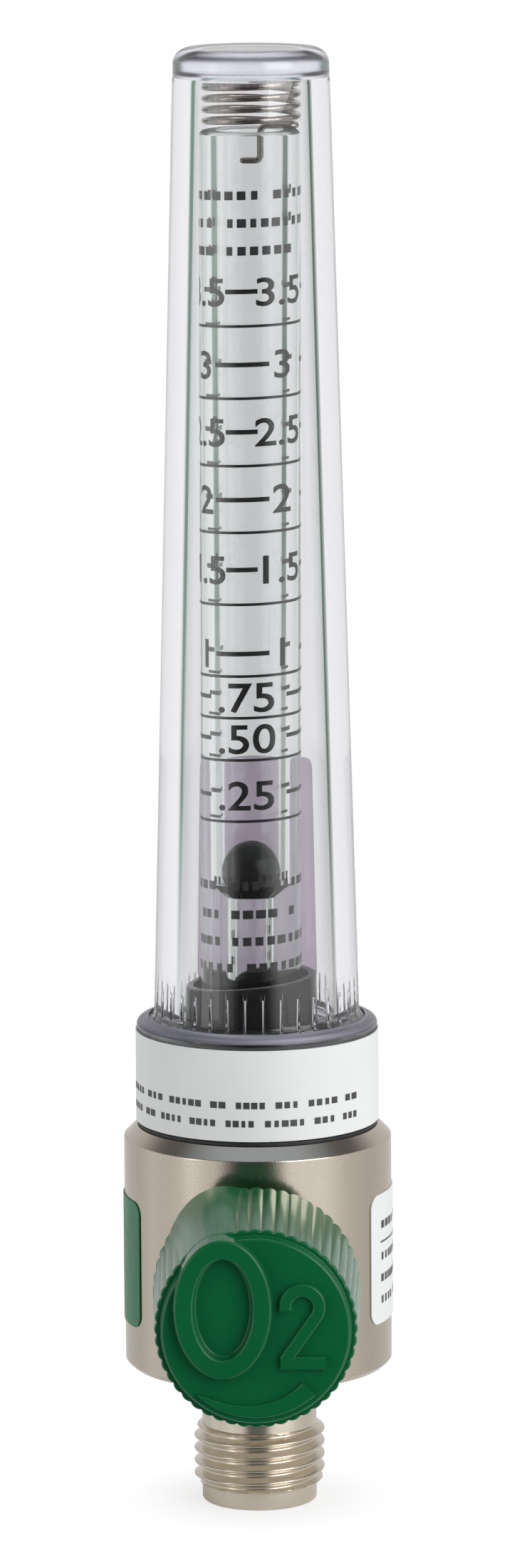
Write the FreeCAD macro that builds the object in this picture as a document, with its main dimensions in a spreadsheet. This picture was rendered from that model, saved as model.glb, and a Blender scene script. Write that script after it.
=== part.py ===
# Oxygen flowmeter with a clear float tube, a needle valve and a threaded outlet. Millimetres.
# The origin is the centre of the outlet's mouth, +Z runs up the tube, and the knob faces -Y.
import FreeCAD, Part
import math
import os
import re
import Sketcher

Vector = FreeCAD.Vector
Rotation = FreeCAD.Rotation
doc = FreeCAD.newDocument("OxygenFlowmeter")

# Driving sizes
SIZES = [
    ("pilot_radius", 6.25, "plain end of the outlet fitting"),
    ("pilot_length", 1.9, "plain end before the thread"),
    ("thread_radius", 7.145, "crest of the outlet's thread"),
    ("thread_length", 6.6, "outlet's thread"),
    ("thread_bevel", 0.6, "bevel at both ends of the thread"),
    ("neck_radius", 6.25, "neck between the thread and the body"),
    ("neck_length", 6.9, "neck between the thread and the body"),
    ("spigot_radius", 5.0, "end of the outlet fitting inside the body"),
    ("spigot_length", 5.5, "end of the outlet fitting inside the body"),
    ("outlet_bore_radius", 4.0, "mouth bore that takes a mating nipple"),
    ("outlet_bore_depth", 9.0, "mouth bore that takes a mating nipple"),
    ("outlet_passage_radius", 2.6, "gas passage above the mouth bore"),
    ("body_radius", 14.5, "outside of the valve body"),
    ("body_height", 26.6, "valve body without its boss"),
    ("body_top_bevel", 1.35, "bevel round the top edge"),
    ("body_foot_bevel", 0.6, "bevel round the bottom edge"),
    ("boss_radius", 10.0, "threaded boss that the shroud screws on"),
    ("boss_height", 7.9, "threaded boss that the shroud screws on"),
    ("gallery_inner", 6.6, "ring groove that collects the gas"),
    ("gallery_outer", 8.3, "ring groove that collects the gas"),
    ("gallery_depth", 1.2, "ring groove that collects the gas"),
    ("feed_radius", 1.8, "gas passage from the inlet up to the tube"),
    ("return_radius", 0.9, "gas passage from the gallery to the valve"),
    ("return_offset", 7.4, "that passage's distance from the tube's axis"),
    ("riser_radius", 1.3, "gas passage from the valve to the outlet"),
    ("riser_offset", 3.6, "that passage's distance from the tube's axis"),
    ("valve_level", 12.0, "knob's axis above the body's bottom"),
    ("front_face_depth", 0.9, "spot face for the bonnet, below the body's side"),
    ("front_face_radius", 7.0, "spot face for the bonnet"),
    ("seat_distance", 6.2, "valve seat, from the tube's axis"),
    ("orifice_radius", 1.2, "hole that the needle closes"),
    ("chamber_radius", 3.2, "valve chamber"),
    ("inlet_level", 15.6, "inlet's axis above the body's bottom"),
    ("rear_face_depth", 1.1, "spot face for the nipple, below the body's side"),
    ("rear_face_radius", 8.6, "spot face for the nipple"),
    ("screw_clearance", 0.1, "radial room in screwed joints, drawn plain"),
    ("running_clearance", 0.08, "radial room round what turns or slides"),
    ("end_room", 0.1, "room behind the end of a screwed piece"),
    ("seal_room", 0.03, "room round a ring seal"),
    ("ring_wire", 0.48, "half thickness of the small ring seals"),
    ("bonnet_thread_radius", 4.9, "bonnet's thread"),
    ("bonnet_thread_length", 4.4, "bonnet's thread"),
    ("bonnet_washer_thickness", 0.5, "washer under the bonnet's hexagon"),
    ("bonnet_across", 11.0, "bonnet's hexagon across its flats"),
    ("bonnet_hexagon_length", 2.2, "bonnet's hexagon"),
    ("stem_radius", 2.5, "valve stem"),
    ("stem_grip", 9.5, "how far the stem reaches into the knob"),
    ("stem_collar_radius", 2.95, "stop collar behind the bonnet"),
    ("stem_collar_length", 0.9, "stop collar behind the bonnet"),
    ("stem_travel", 1.0, "how far the stem backs out"),
    ("stem_groove_radius", 1.55, "floor of the ring groove in the stem"),
    ("stem_groove_setback", 1.2, "middle of that groove, behind the spot face"),
    ("needle_tip_radius", 0.3, "blunt point of the needle"),
    ("needle_tip_place", 3.4, "point of the needle, from the tube's axis"),
    ("knob_room", 0.7, "room between the bonnet and the knob"),
    ("knob_skirt", 17.9, "depth of the ribbed skirt"),
    ("knob_back_radius", 11.13, "rib crests at the back"),
    ("knob_front_radius", 10.62, "rib crests at the front"),
    ("rib_radius", 1.05, "rounding of each rib"),
    ("rib_core", 0.6, "how far the ribs stand proud of the core"),
    ("rib_count", 48, "ribs round the skirt"),
    ("disc_radius", 9.93, "front disc"),
    ("disc_height", 1.1, "front disc"),
    ("disc_bevel", 0.3, "bevel round the front disc"),
    ("oval_left", 3.43, "oval lobe's centre, left of the knob's axis"),
    ("oval_up", 2.57, "oval lobe's centre, above the knob's axis"),
    ("oval_width", 5.1, "half width of the lobe's front"),
    ("oval_tall", 7.4, "half height of the lobe's front"),
    ("oval_draft", 1.3, "how much wider the lobe is at its back"),
    ("oval_relief", 1.3, "how far the lobe stands proud of the disc"),
    ("oval_rim", 2.0, "width of the lobe's raised rim"),
    ("oval_round", 0.3, "rounding of the raised rim"),
    ("knob_wall", 1.7, "wall of the hollow skirt"),
    ("knob_face", 2.6, "thickness of the knob's front"),
    ("hub_radius", 4.7, "hub inside the knob"),
    ("insert_radius", 3.6, "brass insert in the hub"),
    ("insert_setback", 1.0, "insert's end inside the knob's back"),
    ("insert_length", 9.0, "brass insert in the hub"),
    ("nipple_thread_radius", 5.05, "nipple's end in the body"),
    ("nipple_thread_length", 7.5, "nipple's end in the body"),
    ("filter_thickness", 0.8, "sintered inlet filter"),
    ("nipple_across", 14.0, "nipple's hexagon across its flats"),
    ("nipple_hexagon_length", 3.0, "nipple's hexagon"),
    ("nipple_neck_radius", 4.2, "neck that carries the nut"),
    ("nipple_neck_length", 6.2, "neck that carries the nut"),
    ("nipple_shoulder_radius", 5.9, "shoulder that keeps the nut on"),
    ("nipple_shoulder_length", 2.0, "shoulder that keeps the nut on"),
    ("nipple_nose_radius", 3.85, "nose that enters the supply outlet"),
    ("nipple_nose_length", 7.2, "nose that enters the supply outlet"),
    ("nipple_bore_radius", 2.2, "gas passage through the nipple"),
    ("nose_groove_radius", 3.0, "floor of the ring groove in the nose"),
    ("nose_groove_place", 4.4, "middle of that groove, past the shoulder"),
    ("nut_across", 17.5, "swivel nut across its flats"),
    ("nut_length", 15.0, "swivel nut"),
    ("nut_web", 3.5, "web of the nut behind the shoulder"),
    ("nut_gap", 0.3, "room between the web and the shoulder"),
    ("nut_thread_radius", 6.45, "crest of the nut's inner thread"),
    ("hexagon_bevel", 0.8, "bevel on the corners of each hexagon"),
    ("gasket_thickness", 0.4, "flat gasket under the shroud"),
    ("flange_radius", 13.02, "shroud's flange, under its label"),
    ("flange_height", 11.2, "shroud's flange"),
    ("flange_round", 0.7, "rounding of the flange's top edge"),
    ("flange_fillet", 1.5, "hollow between the flange and the wall"),
    ("wall_low_radius", 11.12, "shroud's wall at the flange"),
    ("wall_high_radius", 8.39, "shroud's wall at the crown"),
    ("crown_room", 0.47, "room between the coil and the inside of the crown"),
    ("crown_step", 0.07, "step at the parting line under the crown"),
    ("crown_height", 3.5, "crown above the parting line"),
    ("crown_round", 1.8, "rounding of the crown"),
    ("crown_thickness", 2.9, "solid end of the shroud"),
    ("hollow_low_radius", 8.49, "inside of the shroud above its ledge"),
    ("hollow_high_radius", 5.95, "inside of the shroud at its top"),
    ("hollow_round", 1.2, "rounding inside the top"),
    ("ledge_room", 1.5, "room for the ring on top of the boss"),
    ("shroud_ring_wire", 0.74, "half thickness of that ring"),
    ("notch_count", 36, "grip notches round the foot of the wall"),
    ("notch_width", 0.36, "each notch"),
    ("notch_depth", 0.34, "each notch at its foot"),
    ("notch_height", 4.6, "how far each notch runs up the wall"),
    ("notch_turn", 4, "turn of the first notch from the tube's right, in degrees"),
    ("collar_radius", 7.2, "foot of the black tube collar"),
    ("collar_rim_radius", 7.06, "rim of the black tube collar"),
    ("collar_height", 8.2, "collar on its axis"),
    ("collar_tilt", 5.4, "slant of the rim, in degrees"),
    ("collar_spare", 1.2, "stock that the slanted cut takes away"),
    ("collar_cup_radius", 6.2, "cup round the tube"),
    ("collar_cup_floor", 4.1, "floor of the cup above the collar's foot"),
    ("collar_floor", 1.3, "floor under the tube's gasket"),
    ("collar_bore_radius", 2.0, "hole in the floor"),
    ("tube_fit", 0.05, "room round the tube in its collar"),
    ("tube_gasket_thickness", 0.8, "gasket under the tube"),
    ("tube_radius", 5.4, "outside of the flow tube"),
    ("tube_length", 97.7, "flow tube"),
    ("tube_bevel", 0.3, "bevel at the tube's top"),
    ("tube_passage_radius", 1.8, "passage below the ball's seat"),
    ("taper_low_radius", 3.25, "tapered bore at the ball's seat"),
    ("taper_high_radius", 3.6, "tapered bore at the tube's top"),
    ("ball_radius", 3.175, "float ball"),
    ("ball_place", 18.0, "centre of the resting ball above the tube's foot"),
    ("ball_gap", 0.1, "room under the resting ball"),
    ("wire_radius", 0.34, "half thickness of the spring's wire"),
    ("coil_radius", 5.0, "middle of the wire in the coil"),
    ("coil_pitch", 1.08, "rise of each turn"),
    ("coil_turns", 4.25, "turns of the coil"),
    ("coil_gap", 0.06, "room between the coil and the tube's end"),
    ("tail_place", 0.95, "straight tail's distance from the axis"),
    ("tail_drop", 3.1, "straight tail below the coil"),
    ("tail_bend", 0.8, "bend between the coil and the tail"),
    ("foot_bend", 0.55, "bend between the tail and its foot"),
    ("foot_length", 1.85, "foot across the tube's middle"),
    ("label_gap", 0.02, "film of adhesive under a label"),
    ("label_thickness", 0.15, "printed film"),
    ("label_corner", 1.5, "rounded corners of the side labels"),
    ("rear_label_corner", 1.2, "rounded corners of the rear label"),
    ("band_setback", 0.15, "band label above the shroud's foot"),
    ("band_height", 9.9, "label round the shroud's flange"),
    ("band_turn", 352, "angle that the band label covers"),
    ("side_label_turn", 64, "angle that each side label covers"),
    ("left_label_foot", 5.1, "left label above the body's bottom"),
    ("left_label_height", 13.9, "left label"),
    ("left_label_angle", 93, "middle of the left label, from the front"),
    ("right_label_foot", 5.5, "right label above the body's bottom"),
    ("right_label_height", 14.3, "right label"),
    ("right_label_angle", 89, "middle of the right label, from the front"),
    ("rear_label_foot", 2.8, "rear label above the flange"),
    ("rear_label_height", 24.6, "tinted rear label on the shroud"),
    ("rear_label_turn", 102, "angle that the rear label covers"),
]
sheet = doc.addObject("Spreadsheet::Sheet", "Sizes")
for row, (alias, value, note) in enumerate(SIZES, 1):
    sheet.set(f"A{row}", note)
    sheet.set(f"B{row}", str(value))
    sheet.setAlias(f"B{row}", alias)
doc.recompute()
SIZE = {alias: value for alias, value, note in SIZES}

# Levels that several pieces share, as expressions of the sizes
BODY_FOOT = "(pilot_length + thread_length + neck_length)"
BODY_TOP = f"({BODY_FOOT} + body_height)"
BOSS_TOP = f"({BODY_TOP} + boss_height)"
SHROUD_FOOT = f"({BODY_TOP} + gasket_thickness)"
FLANGE_TOP = f"({SHROUD_FOOT} + flange_height)"
LEDGE = f"({BOSS_TOP} + ledge_room)"
TUBE_FOOT = f"({BOSS_TOP} + collar_floor + tube_gasket_thickness)"
TUBE_TOP = f"({TUBE_FOOT} + tube_length)"
BALL_CENTRE = f"({TUBE_FOOT} + ball_place)"
COIL_FOOT = f"({TUBE_TOP} + coil_gap + wire_radius)"
COIL_TOP = f"({COIL_FOOT} + coil_pitch * coil_turns + wire_radius)"
HOLLOW_TOP = f"({COIL_TOP} + crown_room)"
CROWN_TOP = f"({HOLLOW_TOP} + crown_thickness)"
WALL_TOP = f"({CROWN_TOP} - crown_height)"
WALL_SLOPE = f"(wall_low_radius - wall_high_radius) / ({WALL_TOP} - {FLANGE_TOP})"
VALVE_HEIGHT = f"({BODY_FOOT} + valve_level)"
INLET_HEIGHT = f"({BODY_FOOT} + inlet_level)"
STEM_BORE = "(stem_radius + running_clearance)"
FRONT_FACE = "(body_radius - front_face_depth)"
REAR_FACE = "(body_radius - rear_face_depth)"
KNOB_BACK = f"({FRONT_FACE} + bonnet_washer_thickness + bonnet_hexagon_length + knob_room)"
KNOB_FRONT = f"({KNOB_BACK} + knob_skirt)"
DISC_FRONT = f"({KNOB_FRONT} + disc_height)"
OVAL_FRONT = f"({DISC_FRONT} + oval_relief)"
STEM_END = f"({KNOB_BACK} + stem_grip)"
GROOVE_PLACE = f"({FRONT_FACE} - stem_groove_setback)"
COLLAR_FRONT = f"({FRONT_FACE} + bonnet_washer_thickness - bonnet_thread_length - stem_travel - end_room)"
COLLAR_BACK = f"({COLLAR_FRONT} - stem_collar_length)"
NIPPLE_NECK = f"({REAR_FACE} + nipple_hexagon_length)"
SHOULDER = f"({NIPPLE_NECK} + nipple_neck_length)"
NOSE = f"({SHOULDER} + nipple_shoulder_length)"
NUT_BACK = f"({SHOULDER} - nut_gap - nut_web)"
SHROUD_BORE = "(boss_radius + screw_clearance)"

pieces = []


def linked(text):
    """The expression, with each size's name pointed at the sheet."""
    return re.sub(r"[a-z_]+", lambda word: "Sizes." + word.group() if word.group() in SIZE else word.group(), text)


def bind(thing, where, text):
    thing.setExpression(where, linked(text))


def new_body(label, height=None, turn=None):
    """A body whose local axis is Z, set at a height, and turned so that its axis runs to the front or the rear."""
    body = doc.addObject("PartDesign::Body", label)
    body.Label = label
    if turn is not None:
        body.Placement = FreeCAD.Placement(Vector(), Rotation(Vector(1, 0, 0), turn))
    if height is not None:
        bind(body, "Placement.Base.z", height)
    pieces.append(body)
    return body


def to_front(label):
    return new_body(label, VALVE_HEIGHT, 90)


def to_rear(label):
    return new_body(label, INLET_HEIGHT, -90)


def origin_part(body, role):
    return next(item for item in body.Origin.OriginFeatures if item.Role == role)


def sketch_on(body, plane, name, lift=None):
    """An empty sketch on one of the body's own planes, lifted along the plane's normal."""
    sketch = body.newObject("Sketcher::SketchObject", name)
    sketch.AttachmentSupport = [(origin_part(body, plane), "")]
    sketch.MapMode = "FlatFace"
    if lift is not None:
        bind(sketch, "AttachmentOffset.Base.z", lift)
    return sketch


def outline(body, plane, name, points, lift=None):
    """A closed outline of straight lines, each corner held by its two coordinates."""
    sketch = sketch_on(body, plane, name, lift)
    count = len(points)
    start = [Vector(30 + 9 * math.cos(2 * math.pi * i / count), 30 + 9 * math.sin(2 * math.pi * i / count), 0)
             for i in range(count)]
    for i in range(count):
        sketch.addGeometry(Part.LineSegment(start[i], start[(i + 1) % count]))
    for i in range(count):
        sketch.addConstraint(Sketcher.Constraint("Coincident", i, 2, (i + 1) % count, 1))
    for i, (across, along) in enumerate(points):
        first = sketch.addConstraint(Sketcher.Constraint("DistanceX", -1, 1, i, 1, start[i].x))
        second = sketch.addConstraint(Sketcher.Constraint("DistanceY", -1, 1, i, 1, start[i].y))
        bind(sketch, f"Constraints[{first}]", across)
        bind(sketch, f"Constraints[{second}]", along)
    return sketch


def turned(body, name, points, plane="XZ_Plane", angle=None):
    """A solid of revolution about the body's axis, from (radius, height) corners."""
    sketch = outline(body, plane, name + "_outline", points)
    feature = body.newObject("PartDesign::Revolution", name)
    feature.Profile = sketch
    feature.ReferenceAxis = (sketch, ["V_Axis"])
    if angle is None:
        feature.Angle = 360
    else:
        feature.Midplane = True
        bind(feature, "Angle", angle)
    sketch.Visibility = False
    return feature


def check_smaller(body, before, name):
    doc.recompute()
    if body.Shape.Volume > before - 1e-4:
        raise ValueError(name + " cuts nothing")


def groove(body, name, points):
    """A ring-shaped cut about the body's axis, from (radius, height) corners."""
    doc.recompute()
    before = body.Shape.Volume
    sketch = outline(body, "XZ_Plane", name + "_outline", points)
    feature = body.newObject("PartDesign::Groove", name)
    feature.Profile = sketch
    feature.ReferenceAxis = (sketch, ["V_Axis"])
    feature.Angle = 360
    check_smaller(body, before, name)
    return feature


def circle_on(body, plane, name, radius, place=("0", "0"), lift=None):
    sketch = sketch_on(body, plane, name, lift)
    sketch.addGeometry(Part.Circle(Vector(5, 5, 0), Vector(0, 0, 1), 1))
    size = sketch.addConstraint(Sketcher.Constraint("Radius", 0, 1))
    across = sketch.addConstraint(Sketcher.Constraint("DistanceX", -1, 1, 0, 3, 5))
    along = sketch.addConstraint(Sketcher.Constraint("DistanceY", -1, 1, 0, 3, 5))
    bind(sketch, f"Constraints[{size}]", radius)
    bind(sketch, f"Constraints[{across}]", place[0])
    bind(sketch, f"Constraints[{along}]", place[1])
    return sketch


def oval_on(body, name, half_width, half_height, lift):
    """An upright oval at the lobe's place on the knob."""
    sketch = sketch_on(body, "XY_Plane", name, lift)
    sketch.addGeometry(Part.Ellipse(Vector(5, 15, 0), Vector(3, 5, 0), Vector(5, 5, 0)))
    sketch.exposeInternalGeometry(0)
    rules = [
        (Sketcher.Constraint("Vertical", 1), None),
        (Sketcher.Constraint("Distance", 1, 20), "2 * " + half_height),
        (Sketcher.Constraint("Distance", 2, 4), "2 * " + half_width),
        (Sketcher.Constraint("DistanceX", -1, 1, 0, 3, 5), "-oval_left"),
        (Sketcher.Constraint("DistanceY", -1, 1, 0, 3, 5), "oval_up"),
    ]
    for rule, text in rules:
        number = sketch.addConstraint(rule)
        if text:
            bind(sketch, f"Constraints[{number}]", text)
    return sketch


def hexagon_on(body, name, across, lift):
    corner = [(f"{across} / 2 / cos(30 deg) * cos({60 * k} deg)", f"{across} / 2 / cos(30 deg) * sin({60 * k} deg)")
              for k in range(6)]
    return outline(body, "XY_Plane", name, corner, lift)


def padded(body, name, sketch, length):
    feature = body.newObject("PartDesign::Pad", name)
    feature.Profile = sketch
    bind(feature, "Length", length)
    return feature


def pocketed(body, name, sketch, length, forward, both_ways=False):
    """A pocket that runs along the sketch's normal if forward, and against it if not."""
    doc.recompute()
    before = body.Shape.Volume
    feature = body.newObject("PartDesign::Pocket", name)
    feature.Profile = sketch
    feature.Reversed = forward
    feature.Midplane = both_ways
    bind(feature, "Length", length)
    check_smaller(body, before, name)
    return feature


def drilled(body, name, plane, radius, place, lift, length, forward):
    return pocketed(body, name, circle_on(body, plane, name + "_circle", radius, place, lift), length, forward)


def lofted(body, name, first, second):
    feature = body.newObject("PartDesign::AdditiveLoft", name)
    feature.Profile = first
    feature.Sections = [second]
    return feature


def repeated(body, name, feature, count):
    """The feature, repeated all round the body's axis."""
    pattern = body.newObject("PartDesign::PolarPattern", name)
    pattern.Originals = [feature]
    pattern.Axis = (origin_part(body, "Z_Axis"), [""])
    pattern.Angle = 360
    bind(pattern, "Occurrences", count)
    body.Tip = pattern
    return pattern


def on_edges(body, kind, name, size, wanted):
    """A fillet or chamfer on the edges that the wanted test picks."""
    doc.recompute()
    base = body.Tip
    chosen = [f"Edge{i}" for i, edge in enumerate(base.Shape.Edges, 1) if wanted(edge)]
    if not chosen:
        raise ValueError(name + " finds no edge")
    feature = body.newObject("PartDesign::" + kind, name)
    feature.Base = (base, chosen)
    bind(feature, "Radius" if kind == "Fillet" else "Size", size)
    return feature


def ring_edge(radius, height):
    """Picks the round edge of a given radius at a given height on the body's axis."""
    def wanted(edge):
        curve = edge.Curve
        return (curve.TypeId == "Part::GeomCircle" and abs(curve.Radius - radius) < 0.01
                and abs(curve.Center.z - height) < 0.01)
    return wanted


def washer(label, inner, outer, foot, thickness, body=None):
    body = body or new_body(label)
    top = f"{foot} + {thickness}"
    turned(body, label + "_turning", [(inner, foot), (outer, foot), (outer, top), (inner, top)])
    return body


def ring_seal(label, middle, wire, height, turn=0, offset=None):
    """A round ring about the tube's axis, or turned about X and moved off it."""
    ring = doc.addObject("Part::Torus", label)
    ring.Label = label
    ring.Placement = FreeCAD.Placement(Vector(), Rotation(Vector(1, 0, 0), turn))
    bind(ring, "Radius1", middle)
    bind(ring, "Radius2", wire)
    bind(ring, "Placement.Base.z", height)
    if offset is not None:
        bind(ring, "Placement.Base.y", offset)
    pieces.append(ring)
    return ring


def outlet_fitting():
    """Turned fitting: pilot, thread, neck and a spigot that screws into the body, with a ring groove."""
    body = new_body("outlet_fitting")
    thread_top = "(pilot_length + thread_length)"
    spigot_top = f"({BODY_FOOT} + spigot_length)"
    groove_middle = f"({BODY_FOOT} + spigot_length / 2)"
    turned(body, "fitting_turning", [
        ("outlet_bore_radius", "0"),
        ("pilot_radius", "0"),
        ("pilot_radius", "pilot_length"),
        ("thread_radius - thread_bevel", "pilot_length"),
        ("thread_radius", "pilot_length + thread_bevel"),
        ("thread_radius", f"{thread_top} - thread_bevel"),
        ("thread_radius - thread_bevel", thread_top),
        ("neck_radius", thread_top),
        ("neck_radius", BODY_FOOT),
        ("spigot_radius", BODY_FOOT),
        ("spigot_radius", spigot_top),
        ("outlet_passage_radius", spigot_top),
        ("outlet_passage_radius", "outlet_bore_depth + outlet_bore_radius - outlet_passage_radius"),
        ("outlet_bore_radius", "outlet_bore_depth"),
    ])
    floor = "spigot_radius + screw_clearance - seal_room - 2 * ring_wire - seal_room"
    half = "(ring_wire + 2 * seal_room)"
    groove(body, "spigot_groove", [
        (floor, f"{groove_middle} - {half}"),
        ("spigot_radius + 1", f"{groove_middle} - {half}"),
        ("spigot_radius + 1", f"{groove_middle} + {half}"),
        (floor, f"{groove_middle} + {half}"),
    ])
    ring_seal("outlet_ring", "spigot_radius + screw_clearance - seal_room - ring_wire", "ring_wire", groove_middle)


def valve_body():
    """Plated drum with its boss, the gallery under the shroud and the ports of the inlet, valve and outlet."""
    body = new_body("valve_body")
    turned(body, "body_turning", [
        ("0", BODY_FOOT),
        ("body_radius - body_foot_bevel", BODY_FOOT),
        ("body_radius", f"{BODY_FOOT} + body_foot_bevel"),
        ("body_radius", f"{BODY_TOP} - body_top_bevel"),
        ("body_radius - body_top_bevel", BODY_TOP),
        ("boss_radius", BODY_TOP),
        ("boss_radius", BOSS_TOP),
        ("0", BOSS_TOP),
    ])
    groove(body, "gallery", [
        ("gallery_inner", f"{BOSS_TOP} - gallery_depth"),
        ("gallery_outer", f"{BOSS_TOP} - gallery_depth"),
        ("gallery_outer", f"{BOSS_TOP} + 1"),
        ("gallery_inner", f"{BOSS_TOP} + 1"),
    ])
    front = "XZ_Plane"
    upright = "XY_Plane"
    valve = ("0", VALVE_HEIGHT)
    inlet = ("0", INLET_HEIGHT)
    bonnet_end = f"{FRONT_FACE} + bonnet_washer_thickness - bonnet_thread_length - end_room"
    inlet_end = f"-({REAR_FACE} - nipple_thread_length - filter_thickness - end_room)"
    spigot_end = f"{BODY_FOOT} + spigot_length + end_room"
    far = "body_radius"
    drilled(body, "front_spot_face", front, "front_face_radius", valve, FRONT_FACE, far, True)
    drilled(body, "bonnet_port", front, "bonnet_thread_radius + screw_clearance", valve, bonnet_end, far, True)
    drilled(body, "valve_chamber", front, "chamber_radius", valve, "seat_distance", far, True)
    drilled(body, "valve_orifice", front, "orifice_radius", valve, "riser_offset - riser_radius / 2",
            "seat_distance - riser_offset + riser_radius", True)
    drilled(body, "rear_spot_face", front, "rear_face_radius", inlet, "-" + REAR_FACE, far, False)
    drilled(body, "inlet_port", front, "nipple_thread_radius + screw_clearance", inlet, inlet_end, far, False)
    drilled(body, "inlet_passage", front, "feed_radius", inlet, "0", f"{REAR_FACE} - nipple_thread_length", False)
    drilled(body, "tube_passage", upright, "feed_radius", ("0", "0"), INLET_HEIGHT,
            f"{BOSS_TOP} - {INLET_HEIGHT}", True)
    drilled(body, "return_passage", upright, "return_radius", ("0", "-return_offset"), VALVE_HEIGHT,
            f"{BOSS_TOP} - {VALVE_HEIGHT} - gallery_depth / 2", True)
    drilled(body, "outlet_port", upright, "spigot_radius + screw_clearance", ("0", "0"), spigot_end,
            "spigot_length + 1", False)
    drilled(body, "outlet_riser", upright, "riser_radius", ("0", "-riser_offset"), VALVE_HEIGHT,
            f"{VALVE_HEIGHT} - {BODY_FOOT} - spigot_length", False)


def inlet_side():
    """Nipple with its nose ring, the filter behind it, and the hexagon nut that swivels on its neck."""
    nipple = to_rear("inlet_nipple")
    thread_end = f"{REAR_FACE} - nipple_thread_length"
    tip = f"{NOSE} + nipple_nose_length"
    turned(nipple, "nipple_turning", [
        ("nipple_bore_radius", thread_end),
        ("nipple_thread_radius", thread_end),
        ("nipple_thread_radius", f"{REAR_FACE} + nipple_hexagon_length / 2"),
        ("nipple_neck_radius", f"{REAR_FACE} + nipple_hexagon_length / 2"),
        ("nipple_neck_radius", SHOULDER),
        ("nipple_shoulder_radius", SHOULDER),
        ("nipple_shoulder_radius", NOSE),
        ("nipple_nose_radius", NOSE),
        ("nipple_nose_radius", f"{tip} - hexagon_bevel"),
        ("nipple_nose_radius - hexagon_bevel", tip),
        ("nipple_bore_radius", tip),
    ])
    hexagon = hexagon_on(nipple, "nipple_hexagon_outline", "nipple_across", REAR_FACE)
    padded(nipple, "nipple_hexagon", hexagon, "nipple_hexagon_length")
    bevel_corners(nipple, "nipple_far_bevel", "nipple_across", NIPPLE_NECK, 1)
    drilled(nipple, "nipple_bore", "XY_Plane", "nipple_bore_radius", ("0", "0"), "0", f"{tip} + 1", True)
    floor = "nose_groove_radius"
    wire = "((nipple_nose_radius - nose_groove_radius + seal_room) / 2)"
    middle = f"({NOSE} + nose_groove_place)"
    groove(nipple, "nose_groove", [
        (floor, f"{middle} - {wire} - seal_room"),
        ("nipple_nose_radius + 1", f"{middle} - {wire} - seal_room"),
        ("nipple_nose_radius + 1", f"{middle} + {wire} + seal_room"),
        (floor, f"{middle} + {wire} + seal_room"),
    ])
    ring_seal("nose_ring", f"nose_groove_radius + seal_room + {wire}", wire, INLET_HEIGHT, 90, middle)
    disc = to_rear("inlet_filter")
    sketch = circle_on(disc, "XY_Plane", "filter_circle", "nipple_thread_radius", ("0", "0"),
                       f"{thread_end} - filter_thickness")
    padded(disc, "filter_disc", sketch, "filter_thickness")
    nut = to_rear("inlet_nut")
    padded(nut, "nut_hexagon", hexagon_on(nut, "nut_outline", "nut_across", NUT_BACK), "nut_length")
    nut_end = f"{NUT_BACK} + nut_length"
    bevel_corners(nut, "nut_back_bevel", "nut_across", NUT_BACK, -1)
    bevel_corners(nut, "nut_far_bevel", "nut_across", nut_end, 1)
    drilled(nut, "nut_hole", "XY_Plane", "nipple_neck_radius + running_clearance", ("0", "0"), NUT_BACK,
            "nut_length", True)
    drilled(nut, "nut_thread", "XY_Plane", "nut_thread_radius", ("0", "0"), f"{NUT_BACK} + nut_web",
            "nut_length", True)


def bevel_corners(body, name, across, level, way):
    """A turned bevel that takes the corners off one end of a hexagon."""
    groove(body, name, [
        (f"{across} / 2", f"{level}"),
        (f"{across} / 2 + 2 * hexagon_bevel", f"{level}"),
        (f"{across} / 2 + 2 * hexagon_bevel", f"{level} - {way} * 2 * hexagon_bevel * tan(30 deg)"),
    ])


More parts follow.
